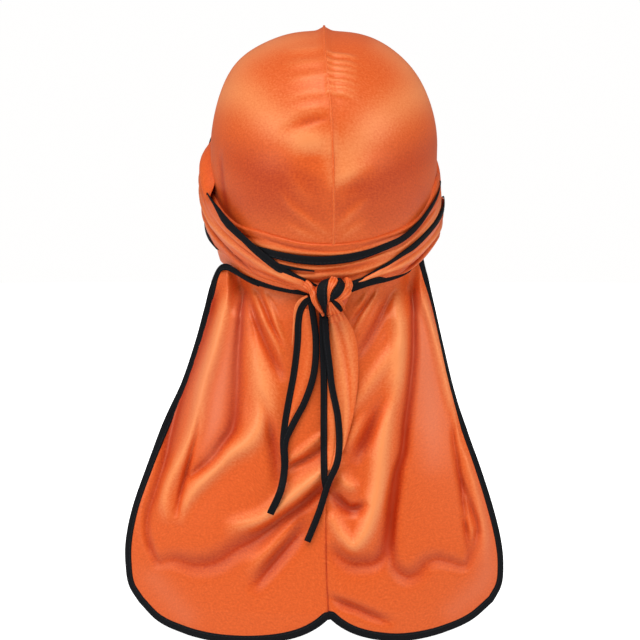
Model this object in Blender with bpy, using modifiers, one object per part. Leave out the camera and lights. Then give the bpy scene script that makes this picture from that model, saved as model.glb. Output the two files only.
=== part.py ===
"""Durag, worn form: two crown panels and two cape panels in satin, and two long ties with black edge
tape that wrap the head, knot at the nape and hang down as tails.

The wearer faces -Y, +Z is up, and the origin is the inside of the crown's top on the centre line.
Lengths in the tables are millimetres; angles are degrees round the head from the back (+Y) to +X.
"""
import bpy
import bmesh
import numpy as np

MM = 0.001

# Cloth and tape
SATIN = 1.0           # wall of the satin
TAPE = 1.4            # thickness of the folded edge tape
TAPE_WIDTH = 4.5      # width of the edge tape as it shows
GAP = 0.35            # room between neighbouring pieces
CLOTH_CLEAR = 0.8     # room between the cape's cloth and its tape, across the coarse curve
SEAM_HALF = 0.2       # half the room between the two panels at the centre seam

# Head room: a dome over an oval that narrows to the neck
DOME_HEIGHT = 84.0
HALF_WIDTH, HALF_WIDTH_POWER = 80.0, 2.0
BACK, BACK_POWER = 99.0, 2.1
FRONT, FRONT_POWER = 96.0, 2.35
NECK = np.array([
    # depth, half_width, back, front
    (84, 80.0, 99.0, 96.0),
    (105, 79.5, 99.5, 95.0),
    (125, 78.5, 96.0, 92.0),
    (145, 75.0, 89.0, 88.0),
    (165, 71.0, 82.0, 84.0),
    (185, 67.0, 77.0, 80.0),
    (205, 65.0, 75.0, 78.0),
])
SEAM = np.array([
    # depth, x of the centre seam, which wanders a little as the cloth is worn
    (0, 0), (8, 0), (20, -0.7), (44, -3.1), (67, -4.8), (107, -6.1), (148, -6.2), (200, -5.0),
    (250, -2.6), (300, -1.4), (350, -1.2), (380, -1.8), (404, -3.2),
])
CROWN_HEM = np.array([
    # angle from the back, height of the lower edge
    (0, -166), (36, -163), (50, -161), (62, -160), (76, -160), (92, -150),
    (112, -130), (135, -114), (160, -105), (180, -103),
])
CROWN_STEPS_ROUND, CROWN_STEPS_DOWN = 15, 11
SEAM_WIDTH, SEAM_HEIGHT = 2.2, 0.9
CROWN_SEAM_BACK, CROWN_SEAM_FRONT = -145.0, -31.0    # heights where the ties cover the seam

# Ties, one row for each station along the wrap. The angle counts from the back centre in the tie's
# own direction; stand is the distance of the tie's inner face from the head room.
TIE_LEFT = np.array([
    # angle, top, bottom, stand
    (-66, -156.5, -167.6, 4.2), (-52, -153, -171.5, 4.1), (-36, -150.5, -177.5, 4.1), (-24, -155, -180.5, 4.1),
    (-11, -157.5, -183, 4.1), (0, -158, -184, 4.1), (12, -156, -183, 4.1), (24, -152, -179, 4.1),
    (33, -146.5, -175, 4.1), (43, -141, -170, 4.1), (53, -133, -163, 4.1), (62, -123, -157, 4.1),
    (75, -111, -147, 4.2), (90, -101, -138, 4.3), (112, -80, -116, 3.6), (135, -56, -88, 2.4),
    (160, -39, -66, 1.8), (180, -34, -63, 1.8), (200, -38, -65, 3.0), (225, -56, -89, 4.8),
    (250, -81, -120, 6.6), (270, -98, -140, 8.4), (282, -107, -149.5, 8.4), (291, -115, -155.5, 8.0),
    (300, -123.5, -161.5, 7.3), (308, -131, -166.5, 6.8), (315, -138.5, -170, 6.4), (323, -148.5, -173.5, 6.4),
    (334, -161, -177, 6.3), (345, -170, -181, 6.3), (357, -178, -187, 6.3),
])
TIE_RIGHT = np.array([
    # angle, top, bottom, stand
    (-96, -102, -141, 2.2), (-80, -104, -151, 2.3), (-66, -111, -160, 2.3),
    (-56, -122, -166, 2.1), (-46, -131, -170, 1.8), (-35, -137, -173, 1.8),
    (-24, -142.5, -175.5, 1.8), (-12, -147.5, -179, 1.8), (0, -149, -181, 1.8), (12, -148, -181, 1.8),
    (24, -143.5, -179, 1.8), (36, -139, -175, 1.8), (48, -132, -170, 1.8), (60, -119, -163, 1.8),
    (75, -108, -154, 1.8), (90, -101, -144, 1.8), (110, -87, -127, 1.8), (135, -75, -111, 1.8),
    (160, -69, -99, 1.8), (180, -67, -97, 1.8), (200, -70, -100, 2.6), (225, -82, -116, 4.8),
    (250, -106, -140, 6.4), (268, -121, -152.5, 6.5), (284, -131, -158.5, 6.4), (300, -142, -164, 6.3),
    (310, -149, -168.5, 6.3), (317, -153.5, -171, 6.3), (326, -160, -173.5, 6.3), (335, -166.5, -176, 6.3),
    (343, -173, -180.5, 6.3), (354, -178, -187, 6.3),
])
TIE_STEPS = 60
TAPE_SHARE = 0.3      # most of a tie's width that one tape may take where the tie is narrow

# Cape outline at the outer edge of its tape, and its distance behind the head
CAPE = np.array([
    # height, left, right, centre_y, edge_y
    (-168.5, 72.0, 68.0, 81.5, 37.0), (-176, 75.5, 70.5, 79.5, 37.5), (-196, 82.6, 73.5, 79.0, 39.0),
    (-220, 89.3, 77.5, 80.5, 42.0), (-250, 99.0, 86.0, 83.0, 44.0), (-280, 111.0, 96.8, 86.0, 46.0),
    (-310, 123.6, 107.5, 89.0, 48.0), (-338, 135.2, 117.0, 92.0, 49.0), (-360, 139.6, 123.7, 94.5, 50.0),
    (-376, 139.8, 125.8, 96.0, 51.0), (-392, 134.8, 121.0, 97.5, 53.0), (-402, 127.8, 114.0, 98.3, 56.0),
])
CAPE_TOP = np.array([
    # distance from the middle, height of the cloth's upper edge under the ties
    (0, -167.0), (35, -166.6), (48, -168.4), (58, -171.2), (66, -173.0),
])
CAPE_BOTTOM_LEFT = np.array([
    # x, height from the round corner to the middle of the lobe
    (127.8, -402.0), (115.4, -413.2), (98.0, -420.2), (80.0, -423.5), (60.0, -424.5), (40.0, -424.5),
])
CAPE_BOTTOM_RIGHT = np.array([
    (114.0, -402.0), (100.2, -412.4), (84.0, -419.0), (66.0, -422.5), (50.0, -424.0), (34.0, -424.0),
])
NOTCH_X, NOTCH_RISE, NOTCH_REACH = -3.2, 20.0, 20.0   # the dip between the lobes at the centre seam
FLARE_START, FLARE_END = -176.0, -204.0               # the cape leaves the nape between these heights
FLARE_INNER, FLARE_OUTER = 56.0, 68.0                 # and between these widths beside the nape
CAPE_STEPS_ACROSS, CAPE_STEPS_DOWN = 16, 20
CAPE_SEAM_TOP, CAPE_SEAM_HEIGHT, CAPE_SEAM_WIDTH = -192.0, 0.6, 1.6
FOLDS = np.array([
    # x_top, z_top, x_bottom, z_bottom, half_width, height (a valley is negative)
    (66, -184, 100, -300, 9, 4.0),
    (58, -188, 74, -290, 8, -4.0),
    (48, -188, 32, -262, 9, 4.5),
    (28, -190, 14, -256, 8, -3.5),
    (-40, -186, -24, -250, 9, 3.5),
    (-58, -186, -44, -350, 9, 5.5),
    (-74, -206, -66, -384, 9, -4.5),
    (-86, -230, -112, -360, 9, 3.5),
    (2, -300, 56, -330, 12, 5.0),
    (56, -330, 112, -308, 12, 4.5),
    (-2, -328, 66, -370, 12, -5.5),
    (66, -370, 116, -366, 10, -4.0),
    (-46, -376, -96, -380, 9, -3.5),
])

# Knot and tails
KNOT_CENTRE = (-4.5, 90.7, -186.5)
KNOT_RADII = (14.0, 12.5)                 # half width and half height
KNOT_FRONT, KNOT_REAR = 8.5, 5.0          # reach towards +Y and towards the head
KNOT_LOOP_LEFT = np.array([
    # x, z, width
    (-1.0, -175.5, 4.0), (2.2, -178.5, 4.8), (3.2, -184.0, 5.0), (2.2, -189.5, 4.6), (-0.3, -195.0, 3.0),
])
KNOT_LOOP_RIGHT = np.array([
    (-8.8, -175.0, 3.0), (-12.4, -177.4, 4.0), (-12.6, -181.4, 4.2), (-9.6, -184.8, 4.0), (-5.2, -186.2, 3.0),
])
TAIL_LEFT = np.array([
    # height, outer edge x, inner edge x, stand off the cape
    (-190, 15.0, 9.5, 7.0), (-198, 18.2, 5.4, 5.6), (-215.5, 20.0, 3.4, 3.2), (-238, 23.0, 4.8, 1.4),
    (-257, 26.5, 10.8, 1.0), (-272, 29.0, 18.6, 1.0), (-284, 30.2, 24.0, 1.0), (-303, 29.6, 24.4, 1.0),
    (-316.5, 32.0, 26.8, 1.0), (-333, 39.2, 34.0, 1.0),
])
TAIL_LEFT_CLOTH = (-200.0, -260.0)        # the satin shows between the tapes at these heights
TAIL_RIGHT_BODY = np.array([
    # height, outer edge x, inner edge x, stand off the cape
    (-196, -2.8, -12.5, 6.4), (-204, -2.8, -17.6, 4.4), (-215.5, -2.8, -22.0, 3.0), (-233, -2.8, -23.2, 2.0),
    (-247, -2.8, -22.4, 1.7), (-262, -2.8, -20.4, 1.6), (-278, -2.8, -16.8, 1.5), (-290, -2.8, -13.0, 1.5),
    (-300, -2.8, -7.0, 1.5),
])
TAIL_RIGHT_OUTER = np.array([
    (-196, 3.8, -1.0, 6.4), (-215.5, 3.2, -1.6, 3.4), (-241, 2.6, -2.2, 1.9), (-285, 2.6, -2.2, 1.7),
    (-303, 1.9, -2.4, 1.7),
])
TAIL_RIGHT_INNER = np.array([
    (-199.5, 1.7, -2.7, 7.8), (-215.5, 0.8, -3.8, 5.6), (-233, -1.3, -5.9, 3.9), (-247, -2.9, -7.5, 3.6),
    (-268, -7.0, -11.6, 3.5), (-290, -7.6, -12.3, 3.5), (-300, -5.6, -10.4, 3.6), (-310, -0.7, -6.0, 3.4),
    (-332.5, 6.3, 1.0, 2.2), (-352, 14.2, 9.0, 2.0),
])
TAIL_STEPS = 18

SATIN_COLOUR = (0.80, 0.16, 0.035, 1.0)
TAPE_COLOUR = (0.010, 0.011, 0.013, 1.0)


def smooth(x, rows, column):
    """Cubic through a table's rows: each row's slope is the mean of the slopes on its two sides."""
    xs, ys = rows[:, 0], rows[:, column]
    if xs[0] > xs[-1]:
        xs, ys = xs[::-1], ys[::-1]
    rise = np.diff(ys) / np.diff(xs)
    slope = np.concatenate([rise[:1], (rise[:-1] + rise[1:]) / 2, rise[-1:]])
    x = np.clip(x, xs[0], xs[-1])
    i = np.clip(np.searchsorted(xs, x) - 1, 0, len(xs) - 2)
    span = xs[i + 1] - xs[i]
    t = (x - xs[i]) / span
    return ((1 + 2 * t) * (1 - t) ** 2 * ys[i] + t * (1 - t) ** 2 * span * slope[i]
            + t * t * (3 - 2 * t) * ys[i + 1] + t * t * (t - 1) * span * slope[i + 1])


def ease(x, start, end):
    """0 at start, 1 at end, with no kink at either."""
    t = np.clip((x - start) / (end - start), 0, 1)
    return t * t * (3 - 2 * t)


def reach(z, widest, power, column):
    """How far the head room reaches sideways, back or forward at height z."""
    depth = -np.asarray(z, float)
    up = np.clip(1 - depth / DOME_HEIGHT, 0, 1)
    dome = widest * (1 - up ** power) ** (1 / power)
    return np.where(depth > DOME_HEIGHT, smooth(depth, NECK, column), dome)


def head(angle, z, stand=0.0):
    """Point of the head room's oval at height z, pushed outwards by stand."""
    a = np.radians(angle)
    side = reach(z, HALF_WIDTH, HALF_WIDTH_POWER, 1)
    back = reach(z, BACK, BACK_POWER, 2)
    front = reach(z, FRONT, FRONT_POWER, 3)
    deep = np.where(np.cos(a) > 0, back, front)
    return np.stack([(side + stand) * np.sin(a), (deep + stand) * np.cos(a), z + 0 * a], -1)


def crown_depth(share, hem):
    """Depth at a share of the way from the top to the hem, in even steps along the dome."""
    quarter = np.pi / 2
    turn = share * (quarter + (-hem - DOME_HEIGHT) / DOME_HEIGHT)
    round_part = DOME_HEIGHT * (1 - np.cos(np.minimum(turn, quarter)))
    return round_part + DOME_HEIGHT * np.maximum(turn - quarter, 0)


def seam_x(z):
    """Where the centre seam runs at the back."""
    return smooth(-np.asarray(z, float), SEAM, 1)


def seam_angle(z):
    """The same place as an angle from the back."""
    return np.degrees(np.arcsin(seam_x(z) / np.maximum(reach(z, HALF_WIDTH, HALF_WIDTH_POWER, 1), 8.0)))


def fold_height(x, z):
    """Sum of the folds: each is a ridge of bell section along a line, fading at both ends."""
    total = np.zeros(np.broadcast(x, z).shape)
    for x0, z0, x1, z1, half_width, height in FOLDS:
        length = np.hypot(x1 - x0, z1 - z0)
        along = ((x - x0) * (x1 - x0) + (z - z0) * (z1 - z0)) / length
        aside = ((x - x0) * (z1 - z0) - (z - z0) * (x1 - x0)) / length
        ends = ease(along, -2 * half_width, 2 * half_width) * ease(length - along, -2 * half_width, 2 * half_width)
        total = total + height * np.exp(-(aside / half_width) ** 2) * ends
    return total


def cape_y(x, z):
    """Depth of the cape's inner face: it hugs the nape under the ties, then hangs as a shallow arch."""
    nape = reach(z, BACK, BACK_POWER, 2)
    side = reach(z, HALF_WIDTH, HALF_WIDTH_POWER, 1)
    hugging = nape * np.sqrt(np.clip(1 - (x / side) ** 2, 0, 1))
    low = np.maximum(z, -376.0)
    half = np.where(x > 0, smooth(low, CAPE, 1), smooth(low, CAPE, 2))
    middle, edge = smooth(z, CAPE, 3), smooth(low, CAPE, 4)
    hanging = middle - (middle - edge) * (x / half) ** 2
    free = 1 - (1 - ease(-z, -FLARE_START, -FLARE_END)) * (1 - ease(np.abs(x), FLARE_INNER, FLARE_OUTER))
    return hugging + (hanging - hugging) * free + fold_height(x, z) * ease(-z, 172, 200)


def on_cape(x, z, stand=0.0):
    """Points of the cape at x and z, standing off its inner face towards +Y."""
    return np.stack([x, cape_y(x, z) + stand, z], -1)


def material(name, colour, roughness):
    """A Principled material with the piece's colour."""
    made = bpy.data.materials.new(name)
    made.use_nodes = True
    shader = made.node_tree.nodes["Principled BSDF"]
    shader.inputs["Base Color"].default_value = colour
    shader.inputs["Roughness"].default_value = roughness
    shader.inputs["Metallic"].default_value = 0.0
    return made


def skin(name, grid, wall, colour, roughness, inside):
    """An open surface through a grid of points, given its wall on the side away from inside."""
    rows, columns = grid.shape[:2]
    across = np.cross(grid[1:, :-1] - grid[:-1, :-1], grid[:-1, 1:] - grid[:-1, :-1])
    outward = grid[:-1, :-1] - np.asarray(inside, float)
    if (across * outward).sum() < 0:
        grid = grid[:, ::-1]
    index = np.arange(rows * columns).reshape(rows, columns)
    faces = np.stack([index[:-1, :-1], index[1:, :-1], index[1:, 1:], index[:-1, 1:]], -1).reshape(-1, 4)
    mesh = bpy.data.meshes.new(name)
    mesh.from_pydata((grid.reshape(-1, 3) * MM).tolist(), [], faces.tolist())
    form = bmesh.new()
    form.from_mesh(mesh)
    bmesh.ops.remove_doubles(form, verts=form.verts, dist=1e-6)
    form.to_mesh(mesh)
    form.free()
    mesh.shade_smooth()
    mesh.materials.append(material(name + "_finish", colour, roughness))
    piece = bpy.data.objects.new(name, mesh)
    collection.objects.link(piece)
    thickness = piece.modifiers.new("wall", "SOLIDIFY")
    thickness.thickness = wall * MM
    thickness.offset = 1.0
    return piece


def crown_panel(name, side):
    """Half of the crown, in steps round the head and down from its top."""
    turn = np.linspace(0, 1, CROWN_STEPS_ROUND + 1)[:, None]
    share = np.linspace(0, 1, CROWN_STEPS_DOWN + 1)[None, :]
    depth = crown_depth(share, smooth(180 * turn, CROWN_HEM, 1))
    start = side * seam_angle(-depth)
    grid = head(start + (180 - start) * turn, -depth)
    grid[..., 0] = side * (grid[..., 0] + SEAM_HALF)
    skin(name, grid, SATIN, SATIN_COLOUR, 0.35, (0, 0, -90))


def crown_seam():
    """The raised ridge over the middle of the crown, between the front ties and the back ties."""
    turn = np.linspace(0, 1, 23)
    depth = crown_depth(turn, CROWN_SEAM_BACK)
    back = head(seam_angle(-depth), -depth)
    front = head(180.0, -crown_depth(turn * np.arccos(1 + CROWN_SEAM_FRONT / DOME_HEIGHT) / (np.pi / 2),
                                     -DOME_HEIGHT))
    path = np.concatenate([front[:0:-1], back])
    run = np.gradient(path, axis=0)
    normal = np.stack([0 * run[:, 0], -run[:, 2], run[:, 1]], -1)
    normal /= np.linalg.norm(normal, axis=1)[:, None]
    path = path + normal * (SATIN + GAP)
    edge = np.array([SEAM_WIDTH / 2, 0, 0])
    skin("crown_seam", np.stack([path - edge, path + edge], 1), SEAM_HEIGHT, SATIN_COLOUR, 0.45, (0, 0, -90))


def tie(side, rows):
    """A tie as three bands side by side: tape, satin, tape. It winds from the back over the far side."""
    label = "left" if side > 0 else "right"
    travel = np.linspace(rows[0, 0], rows[-1, 0], TIE_STEPS + 1)
    top, bottom, stand = (smooth(travel, rows, column) for column in (1, 2, 3))
    height = top - bottom
    tape = np.minimum(TAPE_WIDTH, TAPE_SHARE * height)
    bands = {
        f"tie_{label}_upper_binding": (top, top - tape, 1, TAPE),
        f"tie_{label}": (top - tape - GAP, bottom + tape + GAP, 3, SATIN),
        f"tie_{label}_lower_binding": (bottom + tape, bottom, 1, TAPE),
    }
    for name, (upper, lower, steps, wall) in bands.items():
        share = np.linspace(0, 1, steps + 1)[None, :]
        z = upper[:, None] + (lower - upper)[:, None] * share
        grid = head(-side * travel[:, None], z, stand[:, None])
        colour, roughness = (SATIN_COLOUR, 0.35) if wall == SATIN else (TAPE_COLOUR, 0.6)
        skin(name, grid, wall, colour, roughness, (0, 0, -110))


def cape_outline(side):
    """Outer edge of one cape half in x and z: down the side, round the lobe, up into the notch."""
    column, low_rows = (1, CAPE_BOTTOM_LEFT) if side > 0 else (2, CAPE_BOTTOM_RIGHT)
    down = np.linspace(CAPE[0, 0], CAPE[-1, 0], 60)
    flank = np.stack([smooth(down, CAPE, column), down], -1)
    in_x = np.linspace(low_rows[0, 0], side * NOTCH_X, 60)[1:]
    low = np.stack([in_x, smooth(in_x, low_rows, 1)], -1)
    low[:, 1] += NOTCH_RISE * np.exp(-np.abs(low[:, 0] - side * NOTCH_X) / NOTCH_REACH)
    return np.concatenate([flank, low]), len(flank) - 1


def inset(line, distance):
    """The same line moved inwards by distance, square to itself."""
    run = np.gradient(line, axis=0)
    run /= np.linalg.norm(run, axis=1)[:, None]
    return line + distance * np.stack([run[:, 1], -run[:, 0]], -1)


def resample(line, count):
    """A line in even steps along its length."""
    steps = np.concatenate([[0], np.cumsum(np.linalg.norm(np.diff(line, axis=0), axis=1))])
    want = np.linspace(0, steps[-1], count)
    return np.stack([np.interp(want, steps, line[:, k]) for k in (0, 1)], -1)


def cape_panel(name, side):
    """Half of the cape: a patch between the hem, the centre seam, the flank and the round lobe."""
    outline, corner = cape_outline(side)
    cloth = inset(outline, TAPE_WIDTH + CLOTH_CLEAR)
    flank = cloth[:corner + 1]
    flank = resample(flank[flank[:, 1] < CAPE_TOP[-1, 1]], CAPE_STEPS_DOWN + 1)
    bottom = resample(cloth[corner:], CAPE_STEPS_ACROSS + 1)[::-1]
    seam_z = np.linspace(CAPE_TOP[0, 1], bottom[0, 1], CAPE_STEPS_DOWN + 1)
    seam = np.stack([side * seam_x(seam_z) + SEAM_HALF, seam_z], -1)
    bottom[0] = seam[-1]
    across = np.linspace(0, 1, CAPE_STEPS_ACROSS + 1)
    top_x = seam[0, 0] + (flank[0, 0] - seam[0, 0]) * across
    top_z = smooth(top_x, CAPE_TOP, 1)
    top_z = top_z + (flank[0, 1] - top_z[-1]) * across ** 3
    top = np.stack([top_x, top_z], -1)
    s, t = across[None, :, None], np.linspace(0, 1, CAPE_STEPS_DOWN + 1)[:, None, None]
    patch = ((1 - t) * top[None] + t * bottom[None] + (1 - s) * seam[:, None] + s * flank[:, None]
             - (1 - s) * (1 - t) * top[0] - s * (1 - t) * top[-1] - (1 - s) * t * seam[-1] - s * t * flank[-1])
    skin(name, on_cape(side * patch[..., 0], patch[..., 1]), SATIN, SATIN_COLOUR, 0.35, (0, -500, -290))


def cape_binding(name, side):
    """The folded tape round one cape half, a strip between the outline and the cloth."""
    outline, _ = cape_outline(side)
    outer = resample(outline, 74)
    inner = inset(outer, TAPE_WIDTH)
    outer[-1, 0] = inner[-1, 0] = side * NOTCH_X + SEAM_HALF
    band = np.stack([outer, inner], 1)
    skin(name, on_cape(side * band[..., 0], band[..., 1]), TAPE, TAPE_COLOUR, 0.6, (0, -500, -290))


def cape_seam():
    """The fine ridge down the middle of the cape."""
    z = np.linspace(CAPE_SEAM_TOP, CAPE[-1, 0] + TAPE_WIDTH, 30)
    middle = seam_x(z)
    strip = np.stack([on_cape(middle + k * CAPE_SEAM_WIDTH / 2, z, SATIN + GAP + 0.25) for k in (-1, 1)], 1)
    skin("cape_seam", strip, CAPE_SEAM_HEIGHT, SATIN_COLOUR, 0.45, (0, -500, -290))


def knot_front(x, z, stand):
    """Points on the knot's front."""
    cx, cy, cz = KNOT_CENTRE
    left = 1 - ((x - cx) / KNOT_RADII[0]) ** 2 - ((z - cz) / KNOT_RADII[1]) ** 2
    return np.stack([x, cy + KNOT_FRONT * np.sqrt(np.clip(left, 0.02, 1)) + stand, z], -1)


def knot():
    """The half knot: a round lump, flatter towards the head, with a waist where the tails leave it."""
    form = bmesh.new()
    bmesh.ops.create_uvsphere(form, u_segments=20, v_segments=12, radius=1)
    for corner in form.verts:
        x, y, z = corner.co
        deep = KNOT_FRONT if y > 0 else KNOT_REAR
        corner.co = [(c + d) * MM for c, d in zip(KNOT_CENTRE, (x * KNOT_RADII[0], y * deep, z * KNOT_RADII[1]))]
    mesh = bpy.data.meshes.new("knot")
    form.to_mesh(mesh)
    form.free()
    mesh.shade_smooth()
    mesh.materials.append(material("knot_finish", SATIN_COLOUR, 0.35))
    collection.objects.link(bpy.data.objects.new("knot", mesh))


def knot_loop(name, rows):
    """A black tape loop that lies over the knot's front."""
    order = np.linspace(0, len(rows) - 1, 13)
    numbered = np.column_stack([np.arange(len(rows)), rows])
    x, z, width = (smooth(order, numbered, column) for column in (1, 2, 3))
    run = np.stack([np.gradient(x), np.gradient(z)], -1)
    run /= np.linalg.norm(run, axis=1)[:, None]
    strip = np.stack([knot_front(x + k * width * run[:, 1] / 2, z - k * width * run[:, 0] / 2, GAP + 0.3)
                      for k in (-1, 0, 1)], 1)
    skin(name, strip, TAPE, TAPE_COLOUR, 0.6, KNOT_CENTRE)


def hanging(name, rows, wall, start=None, end=None):
    """A band that hangs over the cape between its outer and inner edges, from start down to end."""
    z = np.linspace(start or rows[0, 0], end or rows[-1, 0], TAIL_STEPS + 1)
    outer, inner, stand = (smooth(z, rows, column) for column in (1, 2, 3))
    share = np.linspace(0, 1, 4 if wall == SATIN else 2)[None, :]
    x = outer[:, None] + (inner - outer)[:, None] * share
    grid = on_cape(x, z[:, None] + 0 * x, SATIN + stand[:, None])
    colour, roughness = (SATIN_COLOUR, 0.35) if wall == SATIN else (TAPE_COLOUR, 0.6)
    skin(name, grid, wall, colour, roughness, (0, -500, -290))


def tail_left():
    """The left tail: satin between two tapes that meet below it."""
    tape = np.minimum(TAPE_WIDTH, (TAIL_LEFT[:, 1] - TAIL_LEFT[:, 2]) / 2 - GAP)
    outer, body, inner = TAIL_LEFT.copy(), TAIL_LEFT.copy(), TAIL_LEFT.copy()
    outer[:, 2] = TAIL_LEFT[:, 1] - tape
    inner[:, 1] = TAIL_LEFT[:, 2] + tape
    body[:, 1] = outer[:, 2] - 3 * GAP
    body[:, 2] = inner[:, 1] + 3 * GAP
    hanging("tail_left", body, SATIN, *TAIL_LEFT_CLOTH)
    hanging("tail_left_binding_outer", outer, TAPE)
    hanging("tail_left_binding_inner", inner, TAPE)


def tail_right():
    """The right tail: satin folded to the right, one tape beside it and the other lying over it."""
    hanging("tail_right", TAIL_RIGHT_BODY, SATIN)
    hanging("tail_right_binding_outer", TAIL_RIGHT_OUTER, TAPE)
    hanging("tail_right_binding_inner", TAIL_RIGHT_INNER, TAPE)


for old in list(bpy.data.objects):
    bpy.data.objects.remove(old, do_unlink=True)
collection = bpy.data.collections.new("durag")
bpy.context.scene.collection.children.link(collection)

crown_panel("crown_left", 1)
crown_panel("crown_right", -1)
crown_seam()
cape_panel("cape_left", 1)
cape_panel("cape_right", -1)
cape_seam()
cape_binding("cape_binding_left", 1)
cape_binding("cape_binding_right", -1)
tie(1, TIE_LEFT)
tie(-1, TIE_RIGHT)
knot()
knot_loop("knot_left_binding", KNOT_LOOP_LEFT)
knot_loop("knot_right_binding", KNOT_LOOP_RIGHT)
tail_left()
tail_right()
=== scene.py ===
"""A satin durag in its worn form, seen from behind: seamed crown, folded cape with round lobes, and two
taped ties wound round the head and knotted at the nape. Lengths in the tables are millimetres. +Z is up,
the forehead looks along -Y, and angles count from the back (+Y) towards +X."""

import bmesh
import bpy
import numpy as np
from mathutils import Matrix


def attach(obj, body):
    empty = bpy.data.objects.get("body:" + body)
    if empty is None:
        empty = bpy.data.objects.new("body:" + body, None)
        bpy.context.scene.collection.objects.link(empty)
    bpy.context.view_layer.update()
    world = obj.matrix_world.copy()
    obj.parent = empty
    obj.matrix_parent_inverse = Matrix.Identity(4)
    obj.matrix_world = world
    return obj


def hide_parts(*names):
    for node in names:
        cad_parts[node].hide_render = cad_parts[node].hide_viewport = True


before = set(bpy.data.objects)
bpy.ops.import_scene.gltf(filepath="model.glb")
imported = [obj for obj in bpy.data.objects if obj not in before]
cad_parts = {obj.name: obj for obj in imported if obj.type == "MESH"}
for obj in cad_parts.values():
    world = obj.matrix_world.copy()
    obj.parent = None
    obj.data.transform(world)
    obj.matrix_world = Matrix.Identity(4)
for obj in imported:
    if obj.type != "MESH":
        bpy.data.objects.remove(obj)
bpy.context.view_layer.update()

# Crown: two mirrored panels of thin polyester satin, cut round and sewn together over the middle of the
# head. The seam gathers the cloth a little, so short puckers run out from it, and the ties below pull
# soft creases towards the nape.
MM = 0.001                   # one millimetre in metres
DOME_HEIGHT = 84.0           # from the top of the head room down to its widest level
HALF_WIDTH, HALF_WIDTH_POWER = 80.0, 2.0
BACK, BACK_POWER = 99.0, 2.1
FRONT, FRONT_POWER = 96.0, 2.35
NECK = np.array([
    # depth, half_width, back, front
    (84, 80.0, 99.0, 96.0), (105, 79.5, 99.5, 95.0), (125, 78.5, 96.0, 92.0), (145, 75.0, 89.0, 88.0),
    (165, 71.0, 82.0, 84.0), (185, 67.0, 77.0, 80.0), (205, 65.0, 75.0, 78.0),
])
SEAM = np.array([
    # depth, x of the centre seam, which wanders a little as the cloth is worn
    (0, 0), (8, 0), (20, -0.7), (44, -3.1), (67, -4.8), (107, -6.1), (148, -6.2), (200, -5.0), (250, -2.6),
    (300, -1.4), (350, -1.2), (380, -1.8), (404, -3.2),
])
CROWN_HEM = np.array([
    # angle from the back, height of the lower edge
    (0, -166), (36, -163), (50, -161), (62, -160), (76, -160), (92, -150), (112, -130), (135, -114),
    (160, -105), (180, -103),
])
CROWN_ACROSS, CROWN_DOWN = 190, 150
CROWN_STAND = 0.85          # outer face of the satin over the head room
SATIN_WALL = 0.55
PUCKER_LEFT = [
    # lines of (x, z, half width, height): soft gathers on the left of the seam
    [(0, -16, 3.1, 0.3), (8, -16, 3.4, 0.7), (19, -18, 3.4, 0.6), (28, -20, 3.4, 0)],
    [(-1, -26, 3.1, 0.3), (8, -26, 3.4, 0.7), (19, -28, 3.4, 0.6), (28, -30, 3.4, 0)],
    [(-1, -36, 3.1, 0.3), (8, -37, 3.4, 0.7), (18, -39, 3.4, 0.6), (27, -40, 3.4, 0)],
    [(-1, -48, 3.1, 0.3), (8, -48, 3.4, 0.7), (19, -50, 3.4, 0.6), (27, -52, 3.4, 0)],
    [(-1, -58, 3.1, 0.3), (8, -59, 3.4, 0.7), (18, -60, 3.4, 0.6), (27, -62, 3.4, 0)],
]
PUCKER_RIGHT = [
    [(-2.5, z, 1.4, 0.9), (-8, z - 0.5, 1.5, 1.3), (-16, z - 2, 1.6, 1.0), (-25, z - 5, 1.6, 0)]
    for z in (-20, -25.5, -30, -34.5, -39.5, -44, -48)
]
CROWN_CREASES = [
    [(0, -65, 2.1, -0.6), (11, -67, 2.8, -1.7), (20, -70, 3.1, -1.3), (31, -74, 2.8, 0)],
    [(-2, -78, 4.8, 0.4), (12, -80, 6.2, 1.1), (26, -84, 5.5, 0)],
    [(-5, -92, 4.1, -0.4), (6, -92, 4.8, -1), (18, -89, 4.1, 0)],
    [(-6, -108, 4.1, 0.3), (-17, -102, 5.5, 1.1), (-34, -92, 5.5, 0)],
    [(-8, -115, 4.1, -0.2), (-19, -110, 4.1, -0.8), (-32, -105, 4.1, 0)],
    [(27, -98, 3.4, 0), (16, -112, 4.1, 0.7), (7, -124, 3.4, 0)],
    [(-3, -144, 2.1, 0.2), (10, -134, 2.8, 1.2), (22, -124, 2.8, 0.9), (30, -112, 2.8, 0)],
    [(0, -148, 2.1, 0), (17, -141, 2.4, 0.7), (29, -134, 2.4, 0)],
    [(-8, -140, 2.1, 0.2), (-16, -131, 2.8, 1.1), (-23, -124, 2.8, 0.9), (-31, -117, 2.8, 0)],
    [(-9, -146, 2.1, 0), (-19, -140, 2.4, 0.7), (-29, -132, 2.4, 0)],
    [(71, -85, 1.5, 0), (71, -100, 1.7, -1.2), (69, -118, 1.8, -1.4), (64, -136, 2.1, 0)],
    [(-81, -92, 1.4, 0), (-79, -110, 1.4, -1), (-75, -126, 1.4, 0)],
]
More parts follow.
